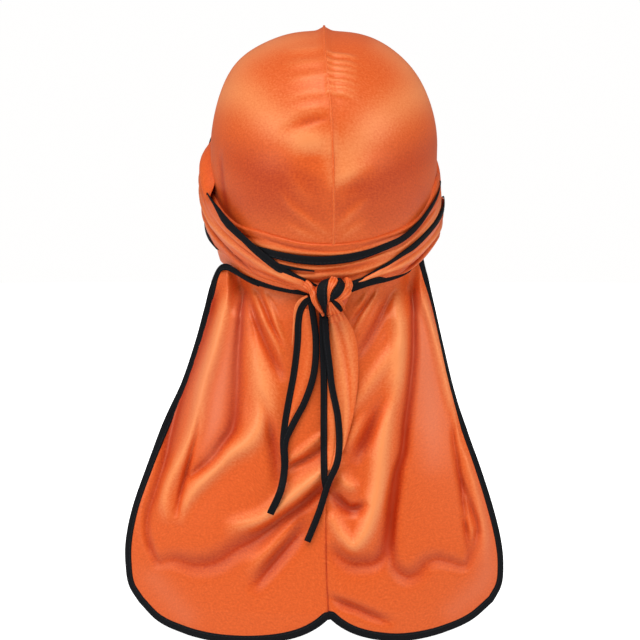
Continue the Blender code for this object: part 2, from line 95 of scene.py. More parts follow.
CROWN_PAINTED_SHEEN_AND_SHADE = [
    # lines of (x, z, half width, tone): painted highlight bands of gloss, and painted shade on the cloth
    # under them
    [(58, -24, 11, 0.34), (40, -14, 10, 0.34), (22, -9, 8, 0.26), (8, -6, 7, 0.16)],
    [(-58, -26, 11, 0.36), (-40, -14, 9, 0.22)],
    [(80, -44, 15, 0.44), (55, -49, 14, 0.40), (37, -63, 12, 0.36), (18, -77, 12, 0.36), (0, -86, 11, 0.34)],
    [(-80, -40, 14, 0.50), (-54, -54, 13, 0.36), (-34, -68, 12, 0.34), (-19, -87, 11, 0.36),
     (-9, -104, 9, 0.30)],
    [(74, -84, 12, -0.10), (50, -98, 15, -0.34), (30, -104, 15, -0.36), (8, -110, 12, -0.26)],
    [(66, -122, 13, -0.22), (36, -124, 13, -0.26), (8, -130, 10, -0.22)],
    [(-78, -84, 12, -0.22), (-52, -100, 15, -0.34), (-30, -114, 13, -0.34), (-14, -124, 10, -0.24)],
    [(-66, -120, 12, -0.22), (-36, -134, 11, -0.22)],
]
FOLD_STEP = 1.5              # spacing of the points along a fold's line
TENT_WIDE, TENT_SEAM = (3.4, 26.0), (2.4, 5.0)            # fall beside the seam, and how much less on it
SEAM_ROLL, SEAM_DIP = (0.45, 0.0, 2.2), (0.25, 5.0, 2.5)  # height, distance from the seam, half width
SHOULDER_X, SHOULDER_Z = (62.0, 20.0), (-26.0, 26.0)      # middle and half width of the fuller cloth
SHOULDER_LEFT, SHOULDER_RIGHT = 3.4, 1.0
FRONT_GATHER, FRONT_PITCH = 0.35, 4.1                     # fine gathers behind the forehead hem
SLOW_WAVES = (0.12, 0.10)    # heights of the two waves that loosen the cloth all over
FLATTEST = 0.15              # the least that the cloth stands off the head room


def smooth(x, rows, column):
    """Cubic through a table's rows: each row's slope is the mean of the slopes on its two sides."""
    xs, ys = rows[:, 0], rows[:, column]
    if xs[0] > xs[-1]:
        xs, ys = xs[::-1], ys[::-1]
    rise = np.diff(ys) / np.diff(xs)
    slope = np.concatenate([rise[:1], (rise[:-1] + rise[1:]) / 2, rise[-1:]])
    x = np.clip(x, xs[0], xs[-1])
    i = np.clip(np.searchsorted(xs, x) - 1, 0, len(xs) - 2)
    span = xs[i + 1] - xs[i]
    t = (x - xs[i]) / span
    return ((1 + 2 * t) * (1 - t) ** 2 * ys[i] + t * (1 - t) ** 2 * span * slope[i]
            + t * t * (3 - 2 * t) * ys[i + 1] + t * t * (t - 1) * span * slope[i + 1])


def ease(x, start, end):
    """0 at start, 1 at end, with no kink at either: 3t^2 - 2t^3."""
    t = np.clip((x - start) / (end - start), 0, 1)
    return t * t * (3 - 2 * t)


def bell(x, middle, half_width):
    """A bump of height 1: e to the minus square of the distance over the half width."""
    return np.exp(-((x - middle) / half_width) ** 2)


def reach(z, widest, power, column):
    """How far the head room reaches at height z: a superellipse over the dome, the NECK table below."""
    depth = -np.asarray(z, float)
    up = np.clip(1 - depth / DOME_HEIGHT, 0, 1)
    dome = widest * (1 - up ** power) ** (1 / power)
    return np.where(depth > DOME_HEIGHT, smooth(depth, NECK, column), dome)


def head(angle, z, stand=0.0):
    """Point of the head room's oval at height z, pushed out by stand: (side sin a, depth cos a, z)."""
    a = np.radians(angle)
    side = reach(z, HALF_WIDTH, HALF_WIDTH_POWER, 1)
    back = reach(z, BACK, BACK_POWER, 2)
    front = reach(z, FRONT, FRONT_POWER, 3)
    deep = np.where(np.cos(a) > 0, back, front)
    return np.stack([(side + stand) * np.sin(a), (deep + stand) * np.cos(a), z + 0 * a], -1)


def outward(p):
    """Unit direction away from the head: each coordinate over its reach squared, level below the dome."""
    level = np.clip(p[..., 2] + DOME_HEIGHT, 0, None) / DOME_HEIGHT ** 2
    away = np.stack([p[..., 0] / HALF_WIDTH ** 2, p[..., 1] / BACK ** 2, level], -1)
    return away / np.linalg.norm(away, axis=-1, keepdims=True).clip(1e-12)


def seam_x(z):
    """Where the centre seam runs at the back."""
    return smooth(-np.asarray(z, float), SEAM, 1)


def travelled(line):
    """Length along a line from its start to each of its points."""
    return np.concatenate([[0], np.cumsum(np.linalg.norm(np.diff(line, axis=0), axis=1))])


def follow(points, want, measured):
    """Smooth line through points: each column as a function of the length along the measured columns."""
    rows = np.column_stack([travelled(points[:, :measured]), points])
    return np.stack([smooth(want, rows, k) for k in range(1, rows.shape[1])], -1)


def fold_lines(x, z, lines):
    """Sum of folds: each point takes the height of a line's nearest point times a bell of its distance."""
    place = np.stack([np.ravel(x), np.ravel(z)], -1)
    total = np.zeros(len(place))
    for line in lines:
        knots = np.array(line, float)
        length = travelled(knots[:, :2])[-1]
        path = follow(knots, np.linspace(0, length, int(length / FOLD_STEP) + 3), 2)
        margin = 3 * knots[:, 2].max()
        low, high = path[:, :2].min(0) - margin, path[:, :2].max(0) + margin
        near = np.flatnonzero(((place > low) & (place < high)).all(1))
        apart = ((place[near, None] - path[None, :, :2]) ** 2).sum(-1)
        closest = apart.argmin(1)
        total[near] += path[closest, 3] * np.exp(-apart.min(1) / path[closest, 2] ** 2)
    return total.reshape(np.shape(x))


def run_lengths(grid):
    """Flat coordinates of a grid: lengths summed along its columns and down its rows."""
    along = np.linalg.norm(np.diff(grid, axis=1), axis=-1)
    down = np.linalg.norm(np.diff(grid, axis=0), axis=-1)
    u = np.concatenate([np.zeros((len(grid), 1)), np.cumsum(along, 1)], 1)
    v = np.concatenate([np.zeros((1, grid.shape[1])), np.cumsum(down, 0)], 0)
    return np.stack([u, v], -1)


def surface(name, grid, inside, finishes, marks, wall=None):
    """Mesh of a grid's cells, facing away from inside, with UV in metres and one value per mark name."""
    rows, columns = grid.shape[:2]
    across = np.cross(np.diff(grid, axis=0)[:, :-1], np.diff(grid, axis=1)[:-1])
    away = grid[:-1, :-1] - np.asarray(inside, float)
    index = np.arange(rows * columns).reshape(rows, columns)
    faces = np.stack([index[:-1, :-1], index[1:, :-1], index[1:, 1:], index[:-1, 1:]], -1).reshape(-1, 4)
    if (across * away).sum() < 0:
        faces = faces[:, ::-1]
    mesh = bpy.data.meshes.new(name)
    mesh.from_pydata((grid.reshape(-1, 3) * MM).tolist(), [], faces.tolist())
    flat = mesh.uv_layers.new(name="cloth")
    flat.data.foreach_set("uv", (run_lengths(grid).reshape(-1, 2)[faces.ravel()] * MM).ravel())
    for mark, values in marks.items():
        attribute = mesh.attributes.new(mark, "FLOAT", "POINT")
        attribute.data.foreach_set("value", np.broadcast_to(values, (rows, columns)).ravel())
    form = bmesh.new()
    form.from_mesh(mesh)
    bmesh.ops.remove_doubles(form, verts=form.verts, dist=1e-6)
    form.to_mesh(mesh)
    form.free()
    mesh.shade_smooth()
    for finish in finishes:
        mesh.materials.append(finish)
    piece = bpy.data.objects.new(name, mesh)
    bpy.context.scene.collection.objects.link(piece)
    if wall:
        solid = piece.modifiers.new("wall", "SOLIDIFY")
        solid.thickness = wall * MM
        solid.offset = -1.0
        solid.material_offset = 1
        solid.material_offset_rim = 0
    return piece


def feed(tree, target, inputs):
    """Links or sets a node's inputs, by name or number."""
    for key, value in dict(inputs).items():
        if isinstance(value, bpy.types.NodeSocket):
            tree.links.new(value, target.inputs[key])
        else:
            target.inputs[key].default_value = value


def node(tree, kind, inputs=(), **settings):
    """A new shader node with its properties set and its inputs fed."""
    made = tree.nodes.new(kind)
    for key, value in settings.items():
        setattr(made, key, value)
    feed(tree, made, inputs)
    return made


def output(tree, kind, inputs=(), socket=0, **settings):
    """One output of a new shader node, by name or number."""
    return node(tree, kind, inputs, **settings).outputs[socket]


def maths(tree, operation, *values):
    """Output of a new Math node that works on values or sockets."""
    return output(tree, "ShaderNodeMath", dict(enumerate(values)), operation=operation)


def ramp(tree, factor, first, last, middle=None):
    """Colour that runs from first to last with the factor, by way of the middle one."""
    made = node(tree, "ShaderNodeValToRGB", {0: factor})
    made.color_ramp.elements[0].color = first
    made.color_ramp.elements[1].color = last
    if middle:
        made.color_ramp.elements.new(0.5).color = middle
    return made.outputs[0]


def material(name):
    """A new material, its node tree and its Principled shader."""
    made = bpy.data.materials.new(name)
    made.use_nodes = True
    return made, made.node_tree, made.node_tree.nodes["Principled BSDF"]


def satin_weave():
    """Node group: long floats of the weft as fine streaks, a faint twill line, and slow cloudy wear."""
    group = bpy.data.node_groups.new("satin weave", "ShaderNodeTree")
    for name in ("Height", "Tone"):
        group.interface.new_socket(name, in_out="OUTPUT", socket_type="NodeSocketFloat")
    flat = output(group, "ShaderNodeUVMap", uv_map="cloth")
    floats = output(group, "ShaderNodeMapping", {"Vector": flat, "Scale": (240, 1700, 1)})
    streak = output(group, "ShaderNodeTexNoise", {"Vector": floats, "Scale": 1.0, "Detail": 2.0})
    slant = output(group, "ShaderNodeMapping", {"Vector": flat, "Rotation": (0, 0, 0.6)})
    twill = output(group, "ShaderNodeTexWave", {"Vector": slant, "Scale": 260.0, "Distortion": 1.5,
                                                "Detail": 1.0, "Detail Scale": 2.0}, "Fac")
    cloud = output(group, "ShaderNodeTexNoise", {"Vector": flat, "Scale": 620.0, "Detail": 3.0})
    tone = output(group, "ShaderNodeMix", {0: 0.6, 2: streak, 3: cloud})
    node(group, "NodeGroupOutput", {"Height": maths(group, "ADD", streak, twill), "Tone": tone})
    return group


def satin(name, deep, middle, light, roughness):
    """Satin finish: painted shade and highlight run from deep to light colour by the fold mark, a painted
    glow pales it, and the weave roughens and bumps the gloss.
    """
    made, tree, shader = material(name)
    weave = node(tree, "ShaderNodeGroup", node_tree=WEAVE).outputs
    fold, painted_glow = (output(tree, "ShaderNodeAttribute", (), "Fac", attribute_name=mark)
                   for mark in ("fold", "painted_glow"))
    # painted shade and highlight: the fold mark, with the weave's random tone on top, picks the colour from
    # deep to light
    tone = maths(tree, "MULTIPLY_ADD", maths(tree, "SUBTRACT", weave["Tone"], 0.5), 0.9, fold)
    colour = ramp(tree, tone, deep, light, middle)
    # painted glow: half the glow mark mixes in a pale colour that stands in for light shining through the
    # cloth
    share = maths(tree, "MULTIPLY", painted_glow, 0.5)
    paler = output(tree, "ShaderNodeMix", {0: share, 6: colour, 7: PAINTED_GLOW_COLOUR}, 2, data_type="RGBA")
    rough = output(tree, "ShaderNodeMapRange", {"Value": weave["Tone"], "To Min": roughness - 0.07,
                                                "To Max": roughness + 0.07})
    bump = output(tree, "ShaderNodeBump", {"Height": weave["Height"], "Strength": 0.25, "Distance": 0.00006})
    feed(tree, shader, {"Base Color": paler, "Roughness": rough, "Normal": bump,
                        "Specular IOR Level": 0.75, "Specular Tint": (1.0, 0.60, 0.38, 1.0),
                        "Anisotropic": 0.45, "Sheen Weight": 0.08, "Sheen Roughness": 0.35,
                        "Sheen Tint": (1.0, 0.55, 0.33, 1.0)})
    return made


WEAVE = satin_weave()
# pale colour of the painted glow of light through single cloth
PAINTED_GLOW_COLOUR = (0.74, 0.20, 0.105, 1)
# each satin's deep and light colours are painted shade and painted highlight of one cloth; its middle is the
# cloth's own colour
SATIN_FACE = satin("satin_face", (0.47, 0.030, 0.003, 1), (0.78, 0.115, 0.017, 1),
                   (0.94, 0.29, 0.095, 1), 0.42)
SATIN_REVERSE = satin("satin_reverse", (0.42, 0.05, 0.010, 1), (0.58, 0.09, 0.02, 1),
                      (0.66, 0.13, 0.04, 1), 0.60)


def crown_depth(share, hem):
    """Depth at a share of the way from the top to the hem, in even steps along the dome."""
    quarter = np.pi / 2
    turn = share * (quarter + (-hem - DOME_HEIGHT) / DOME_HEIGHT)
    round_part = DOME_HEIGHT * (1 - np.cos(np.minimum(turn, quarter)))
    return round_part + DOME_HEIGHT * np.maximum(turn - quarter, 0)


def seam_angle(z):
    """The seam's place at the back as an angle: arcsine of its x over the half width."""
    return np.degrees(np.arcsin(seam_x(z) / np.maximum(reach(z, HALF_WIDTH, HALF_WIDTH_POWER, 1), 8.0)))


def tent(x, z):
    """Fall of the stretched panels below the round of the head near its top: two bells about the seam."""
    fall = TENT_WIDE[0] * bell(x, 0, TENT_WIDE[1]) - TENT_SEAM[0] * bell(x, 0, TENT_SEAM[1])
    return fall * ease(z, -44, -6)


def crown_panel(name, side):
    """Steps round the head and down from its top, pushed out by the folds and up to the seam."""
    turn = np.linspace(0, 1, CROWN_ACROSS + 1)[None, :] ** 1.1
    share = np.linspace(0, 1, CROWN_DOWN + 1)[:, None]
    depth = crown_depth(share, smooth(180 * turn, CROWN_HEM, 1))
    start = side * seam_angle(-depth)
    grid = head(start + (180 - start) * turn, -depth)
    grid[..., 0] *= side
    x, y, z = np.moveaxis(grid, -1, 0)
    away = np.where(y > 0, np.abs(x - seam_x(z)), np.abs(x))
    folds = fold_lines(x, z, PUCKER_LEFT + PUCKER_RIGHT + CROWN_CREASES) * ease(y, 0, 20)
    front = FRONT_GATHER * np.sin(z / FRONT_PITCH + 0.04 * x)
    front = front * bell(x, 0, 26) * ease(-y, 5, 30) * ease(-z, 8, 20)
    slow = SLOW_WAVES[0] * np.sin(x / 9 + z / 13) + SLOW_WAVES[1] * np.sin(z / 7.5 - x / 17)
    rise = SEAM_ROLL[0] * bell(away, *SEAM_ROLL[1:]) - SEAM_DIP[0] * bell(away, *SEAM_DIP[1:])
    shoulder = SHOULDER_LEFT * bell(x, *SHOULDER_X) + SHOULDER_RIGHT * bell(-x, *SHOULDER_X)
    shoulder = shoulder * bell(z, *SHOULDER_Z) * ease(y, -30, 0)
    lift = CROWN_STAND + folds + front + slow * ease(away, 2, 12) + rise + shoulder
    grid = grid + outward(grid) * np.maximum(lift, FLATTEST)[..., None]
    grid[..., 2] -= tent(x, z)
    # painted shade and highlight: the crown's creases are painted darker and its puckers lighter by their
    # height, with the painted sheen bands added
    painted_light_and_shade = 0.5 + 0.22 * folds + fold_lines(x, z, CROWN_PAINTED_SHEEN_AND_SHADE) * ease(y, 0, 25)
    return surface(name, grid, (0, 0, -90), [SATIN_FACE, SATIN_REVERSE], {"fold": painted_light_and_shade}, SATIN_WALL)


def settle(piece, slot, *nodes):
    """Puts a piece on the part's one body, in place of the nodes that it dresses; slot is not used."""
    if nodes:
        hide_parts(*nodes)
    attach(piece, "root")


SIDES = (("left", 1), ("right", -1))
for label, side in SIDES:
    panel = crown_panel(f"crown_{label}_satin", side)
    settle(panel, "satin", f"crown_{label}")

# Crown seam: the two panels' edges are overlocked and topstitched, and stand up as a narrow, lumpy ridge
# from the forehead over the top to the nape, with a small peak at the top of the head.
SEAM_WIDTH, SEAM_RISE, STITCH = 1.8, 0.95, 2.4
SEAM_STAND, PEAK_RISE = 0.25, 0.5       # over the panels, and at the top of the head
CROWN_SEAM_BACK, CROWN_SEAM_FRONT = -152.0, -103.0


def heading(line):
    """Unit direction of a line at each of its points."""
    run = np.gradient(line, axis=0)
    return run / np.linalg.norm(run, axis=1)[:, None]


def capped(rings):
    """The rings with one more at each end, drawn in to a point to close them."""
    points = rings[[0, -1]].mean(1, keepdims=True) + 0 * rings[[0, -1]]
    return np.concatenate([points[:1], rings, points[1:]])


def ridge(path, normal, width, rise, stitch):
    """Half rounds along a path: width cos, rise sin, made lumpy by one swell for each stitch."""
    aside, length = np.cross(heading(path), normal), travelled(path)
    swell = (1 + 0.16 * np.sin(2 * np.pi * length / stitch) + 0.08 * np.sin(length / 7.3))[:, None, None]
    turn = np.linspace(0, 2 * np.pi, 11)
    flat = np.cos(turn)[None, :, None]
    high = np.where(np.sin(turn) > 0, np.sin(turn), 0.25 * np.sin(turn))[None, :, None]
    half_round = aside[:, None] * flat * width / 2 + normal[:, None] * (high * rise)
    return capped(path[:, None] + swell * half_round)


def tube(name, grid, finish, marks):
    """A closed tube from rings: the surface, closed round, with its faces turned outwards."""
    piece = surface(name, grid, (0, 0, 0), [finish], marks)
    form = bmesh.new()
    form.from_mesh(piece.data)
    bmesh.ops.recalc_face_normals(form, faces=form.faces)
    form.to_mesh(piece.data)
    form.free()
    return piece


depth_back = crown_depth(np.linspace(0, 1, 150), CROWN_SEAM_BACK)
depth_front = crown_depth(np.linspace(0, 1, 110), CROWN_SEAM_FRONT)
seam_path = np.concatenate([head(180.0, -depth_front)[:0:-1], head(seam_angle(-depth_back), -depth_back)])
seam_out = outward(seam_path)
peak = PEAK_RISE * bell(np.linspace(-1, 1, len(seam_path)), -0.16, 0.06)
seam_path = seam_path + seam_out * (CROWN_STAND + SEAM_STAND + peak)[:, None]
seam_path[:, 2] -= tent(0.0, seam_path[:, 2])
# its fold mark, a little over the middle, paints the ridge lighter: painted highlight
crown_seam = tube("crown_seam_ridge", ridge(seam_path, seam_out, SEAM_WIDTH, SEAM_RISE, STITCH), SATIN_FACE,
                  {"fold": 0.56})
settle(crown_seam, "satin", "crown_seam")

# Cape: two mirrored satin panels sewn on below the ties and joined down the middle. They fan out from
# the nape in long folds, curl under the tails, and end in two flat round lobes.
CAPE = np.array([
    # height, left, right, centre_y, edge_y: the outer edge of the tape and its distance behind the head
    (-158, 71.5, 69.0, 84.5, 36.5), (-168.5, 75.5, 71.5, 81.5, 37.0), (-176, 78.6, 73.5, 79.5, 37.5),
    (-196, 83.6, 78.8, 79.0, 39.0), (-220, 90.4, 84.2, 80.5, 42.0), (-250, 100.8, 91.2, 83.0, 44.0),
    (-280, 114.0, 100.0, 86.0, 46.0), (-310, 125.6, 110.6, 89.0, 48.0), (-338, 135.2, 119.4, 92.0, 49.0),
    (-360, 139.6, 124.6, 94.5, 50.0), (-376, 139.8, 126.2, 96.0, 51.0), (-392, 137.0, 124.6, 97.5, 53.0),
    (-402, 130.0, 118.6, 98.3, 56.0),
])
CAPE_TOP = np.array([
    # distance from the middle, height of the cloth's upper edge under the ties: left, right
    (0, -163.0, -163.0), (35, -163.0, -163.0), (48, -165.0, -162.5), (58, -168.6, -161.5),
    (66, -168.4, -160.5),
])
CAPE_BOTTOM_LEFT = np.array([
    (130.0, -402.0), (117.4, -413.0), (98.0, -420.2), (80.0, -423.5), (60.0, -424.5), (40.0, -424.5),
])
CAPE_BOTTOM_RIGHT = np.array([
    (118.6, -402.0), (103.6, -412.4), (84.0, -419.0), (66.0, -422.5), (50.0, -424.0), (34.0, -424.0),
])
NOTCH_X, NOTCH_RISE, NOTCH_REACH = -3.2, 20.0, 20.0
FLARE_START, FLARE_END = 176.0, 204.0
FLARE_INNER, FLARE_OUTER = 56.0, 68.0
CAPE_ACROSS, CAPE_DOWN = 110, 190
CAPE_STAND = 0.8                     # outer face of the satin over the cape's own depth
CAPE_SETBACK = 2.2                   # the cloth's edge inside the tape's outer edge
CAPE_WAVES = (0.10, 0.08)            # heights of the two slow waves that loosen the cloth
SEAM_GROOVE = 0.40                   # how deep the seam pulls the cloth in
FAR_IN_FRONT = (0, -500, -290)       # the side that the cape's outer face turns away from
PAINTED_GLOW_LINES = [
    # lines of (x, z, half width, share): a painted glow, single cloth with light behind it painted paler than
    # the folded parts
    [(58, -192, 6, 0.5), (68, -232, 9, 0.9), (76, -270, 9, 1.0), (80, -296, 7, 0.5)],
    [(78, -206, 5, 0.3), (90, -255, 7, 0.6), (102, -292, 7, 0.3)],
    [(-66, -190, 5, 0.5), (-71, -231, 8, 1.0), (-74, -265, 11, 1.0), (-76, -300, 10, 0.5)],
    [(-104, -300, 5, 0.2), (-113, -345, 6, 0.6), (-112, -385, 9, 0.7), (-90, -404, 9, 0.5)],
    [(118, -385, 9, 0.5), (96, -408, 9, 0.5)],
]
FOLDS_LEFT = [
    # lines of (x, z, half width, height), from the nape down; a height below 0 is a valley
    [(71, -175, 2.7, 0), (75, -182, 3.4, -4), (82, -206, 4.1, -5), (91, -232, 4.8, -5),
     (100, -256, 4.8, -5), (107, -283, 4.8, -4.5), (112, -307, 4.1, -4), (118, -325, 3.4, -3.5),
     (123, -339, 2.7, -3), (124, -353, 2.7, -2.5), (121, -364, 2.7, -3), (116, -373, 2.7, -1)],
    [(64, -171, 2.7, 2), (70, -198, 4.8, 5), (76, -222, 5.4, 6), (84, -249, 5.4, 6), (90, -277, 5.4, 5.5),
     (96, -292, 4.8, 5), (103, -306, 4.8, 5), (109, -319, 4.8, 4.5), (111, -332, 4.8, 3.5),
     (109, -346, 4.8, 0)],
    [(54, -177, 2, -3), (57, -194, 2.4, -5), (59, -218, 3.4, -5), (60, -235, 4.1, -4.5),
     (61, -256, 4.8, -4), (64, -279, 4.8, -5), (70, -289, 4.4, -5.5), (77, -299, 4.1, -5.5),
     (86, -307, 3.4, -4.5), (93, -312, 2.7, -2)],
    [(85, -261, 2, 0), (88, -279, 2, -2.5), (92, -294, 2, -3), (94, -303, 2, -3.5), (98, -318, 2, -4),
     (101, -331, 2, -3.5), (102, -342, 2.7, 0)],
    [(52, -180, 1.7, 1.5), (46, -192, 1.9, 3), (40, -205, 2, 3), (33, -218, 2, 2.5), (28, -230, 2, 0)],
    [(42, -182, 1.7, 1.5), (36, -196, 2, 2.6), (31, -209, 2, 2.4), (25, -223, 2, 0)],
    [(53, -185, 2.4, -2), (46, -205, 2.7, -3.5), (40, -220, 3.1, -3.5), (33, -234, 3.4, -3),
     (27, -245, 3.4, 0)],
    [(47, -181, 1.7, -1.5), (41, -194, 1.9, -2.2), (35, -208, 2, -2.2), (27, -223, 2, 0)],
    [(50, -208, 5.4, 0), (46, -229, 7.5, 4), (42, -248, 8.2, 5.5), (42, -266, 7.5, 5.5),
     (51, -284, 6.8, 5.5), (65, -294, 6.1, 6), (79, -308, 5.4, 6), (92, -323, 4.8, 5), (98, -335, 4.1, 3),
     (101, -346, 4.1, 0)],
    [(45, -248, 3.4, 0), (41, -261, 3.4, -2.5), (37, -278, 4.1, -3.5), (34, -294, 4.1, -3.5),
     (32, -311, 4.1, -2), (30, -322, 4.1, 0)],
    [(27, -300, 2.7, 0), (22, -296, 2.7, 2), (14, -290, 2.7, 2.6), (4, -282, 2.7, 2), (-4, -277, 2.7, 0)],
    [(27, -307, 2.7, 0), (22, -302, 2.7, -2.5), (12, -297, 2.7, -3.2), (2, -291, 2.7, -2.5),
     (-7, -286, 2.7, 0)],
    [(-9, -297, 4.1, 2), (3, -306, 4.8, 5), (14, -315, 5.4, 6.5), (27, -326, 5.4, 6.5),
     (41, -337, 5.4, 5.5), (56, -342, 5.4, 3.5), (70, -346, 5.4, 0)],
    [(-8, -310, 4.1, -2), (3, -317, 4.6, -4.5), (17, -329, 5.4, -4.8), (32, -339, 6.0, -4.6),
     (46, -351, 6.4, -4.2), (60, -359, 6.8, -3.8), (75, -369, 7.0, -3.6), (89, -372, 6.6, -3.2),
     (104, -370, 5.6, -2.6), (116, -373, 4.4, -1.4)],
    [(10, -333, 4.1, 0), (19, -348, 5.4, -3.5), (32, -364, 5.4, -4.5), (43, -378, 4.8, -3.5),
     (51, -389, 4.8, 0)],
    [(18, -337, 4.1, 0), (29, -350, 4.1, 2), (43, -364, 4.1, 2), (54, -375, 4.1, 0)],
]
FOLDS_RIGHT = [
    [(-53, -175, 3.4, 2), (-51, -194, 4.8, 4.5), (-52, -208, 5.4, 5.5), (-52, -223, 5.4, 6),
     (-49, -246, 6.1, 6), (-43, -266, 6.1, 6), (-41, -280, 6.1, 6), (-39, -295, 6.1, 6.5),
     (-37, -314, 6.1, 6.5), (-33, -332, 6.1, 6.5), (-27, -348, 5.4, 6), (-20, -355, 5.4, 5),
     (-13, -349, 4.8, 4.5), (-6, -338, 4.8, 3)],
    [(-4, -319, 3.4, -2), (-10, -325, 4.1, -4.5), (-17, -331, 4.1, -5), (-25, -330, 4.1, -4),
     (-30, -325, 4.1, 0)],
    [(-4, -306, 3.4, 1), (-11, -310, 4.1, 3), (-18, -315, 4.1, 3.5), (-25, -316, 4.1, 0)],
    [(-63, -174, 2, -3), (-62, -191, 2.4, -5), (-62, -207, 2.7, -5.5), (-62, -224, 3.1, -5.5),
     (-59, -255, 3.4, -5), (-56, -277, 3.4, -5.5), (-54, -295, 3.4, -5.5), (-50, -307, 3.4, -5.5),
     (-46, -328, 3.8, -5.2), (-44, -346, 4.4, -4.6), (-41, -360, 5.2, -4), (-35, -367, 5.8, -3.6),
     (-27, -368, 6.2, -3.4), (-18, -367, 6.2, -3.2), (-9, -360, 5.6, -2.2), (-4, -353, 5.0, 0)],
    [(-55, -299, 2, 0), (-50, -324, 2.4, -2.4), (-47, -342, 2.7, -2.6), (-47, -364, 3.8, -2.6),
     (-50, -373, 4.6, -3), (-57, -378, 5.2, -3.2), (-64, -376, 5.4, -2.8), (-70, -370, 5.0, -2.6),
     (-78, -368, 4.8, -2.6), (-88, -371, 4.2, -2.6), (-98, -374, 3.6, -2.4), (-103, -366, 3.2, -2),
     (-107, -353, 2.9, -1)],
    [(-66, -174, 2.7, 2.5), (-70, -191, 3.4, 4.5), (-75, -208, 3.4, 5), (-82, -235, 4.1, 4.5),
     (-88, -263, 3.4, 4), (-92, -283, 2.7, 3), (-95, -304, 2.7, 0)],
    [(-72, -177, 2, -2), (-77, -196, 2.7, -4), (-85, -223, 2.7, -3.5), (-93, -253, 2.7, -3),
     (-100, -280, 2.7, 0)],
    [(-85, -256, 2, 0), (-89, -273, 2, -2.5), (-92, -297, 2, -3.2), (-96, -325, 2, -3.2),
     (-99, -351, 2, -3), (-101, -371, 2, 0)],
    [(-93, -307, 2, 0), (-98, -322, 2, -2.4), (-103, -336, 2, -2.8), (-107, -348, 2, -2.6),
     (-105, -361, 2, 0)],
    [(-94, -281, 2.7, 0), (-100, -304, 2.7, 2.5), (-107, -328, 3.1, 2.8), (-112, -353, 3.4, 2.5),
     (-112, -375, 3.4, 0)],
    [(-96, -332, 2, 0), (-98, -340, 2, 2), (-102, -349, 2, 2), (-103, -358, 2, 0)],
    [(-4, -390, 2.7, -1), (-13, -395, 3.4, -3.5), (-23, -399, 3.4, -3.5), (-36, -405, 3.4, -3),
     (-49, -410, 3.4, 0)],
    [(-43, -175, 1.7, 1.5), (-35, -186, 2, 3), (-27, -199, 2, 3), (-19, -212, 2, 0)],
    [(-34, -177, 1.7, 1.5), (-28, -187, 1.9, 2.4), (-20, -199, 1.9, 0)],
    [(-38, -176, 1.7, -1.5), (-31, -188, 1.9, -2.4), (-24, -198, 1.9, -2.2), (-17, -208, 1.9, 0)],
    [(-49, -180, 2.4, -2), (-42, -194, 3.1, -3.5), (-34, -209, 3.4, -3.5), (-26, -222, 3.4, -2.5),
     (-19, -231, 3.4, 0)],
    [(-53, -214, 4.8, 0), (-42, -231, 5.4, 3.5), (-31, -246, 5.4, 3.5), (-22, -258, 4.8, 2),
     (-16, -268, 4.1, 0)],
    [(-50, -240, 4.1, 0), (-43, -257, 4.8, -4), (-33, -275, 4.8, -4.5), (-25, -290, 4.8, -4),
     (-19, -301, 4.1, -1)],
    [(-28, -264, 3.4, 0), (-21, -278, 4.1, 2.5), (-14, -292, 4.1, 0)],
]


def cape_folds(x, z):
    """Fold heights, let in below the ties, which press the cloth flat."""
    return fold_lines(x, z, FOLDS_LEFT + FOLDS_RIGHT) * ease(-z, 174, 197)


def cape_y(x, z):
    """Depth of the cape: it hugs the nape under the ties, then hangs as a shallow arch, plus its folds."""
    nape = reach(z, BACK, BACK_POWER, 2)
    side = reach(z, HALF_WIDTH, HALF_WIDTH_POWER, 1)
    hugging = nape * np.sqrt(np.clip(1 - (x / side) ** 2, 0, 1))
    low = np.maximum(z, -376.0)
    half = np.where(x > 0, smooth(low, CAPE, 1), smooth(low, CAPE, 2))
    middle, edge = smooth(z, CAPE, 3), smooth(low, CAPE, 4)
    hanging = middle - (middle - edge) * (x / half) ** 2
    free = 1 - (1 - ease(-z, FLARE_START, FLARE_END)) * (1 - ease(np.abs(x), FLARE_INNER, FLARE_OUTER))
    return hugging + (hanging - hugging) * free + cape_folds(x, z)


def on_cape(x, z, stand=0.0):
    """Points of the cape at x and z, standing off it towards +Y."""
    return np.stack([x, cape_y(x, z) + stand, z], -1)


def cape_outline(side):
    """Outer edge of one half in x and z: down the side, round the lobe, up into the notch."""
    column, low_rows = (1, CAPE_BOTTOM_LEFT) if side > 0 else (2, CAPE_BOTTOM_RIGHT)
    down = np.linspace(CAPE[0, 0], CAPE[-1, 0], 200)
    flank = np.stack([smooth(down, CAPE, column), down], -1)
    in_x = np.linspace(low_rows[0, 0], side * NOTCH_X, 200)[1:]
    low = np.stack([in_x, smooth(in_x, low_rows, 1)], -1)
    low[:, 1] += NOTCH_RISE * np.exp(-np.abs(low[:, 0] - side * NOTCH_X) / NOTCH_REACH)
    return np.concatenate([flank, low]), len(flank) - 1


def inset(line, distance):
    """The same line moved inwards by distance, square to itself."""
    run = heading(line)
    return line + distance * np.stack([run[:, 1], -run[:, 0]], -1)


def resample(line, count):
    """A line in even steps along its length."""
    steps = travelled(line)
    want = np.linspace(0, steps[-1], count)
    return np.stack([np.interp(want, steps, line[:, k]) for k in range(line.shape[1])], -1)


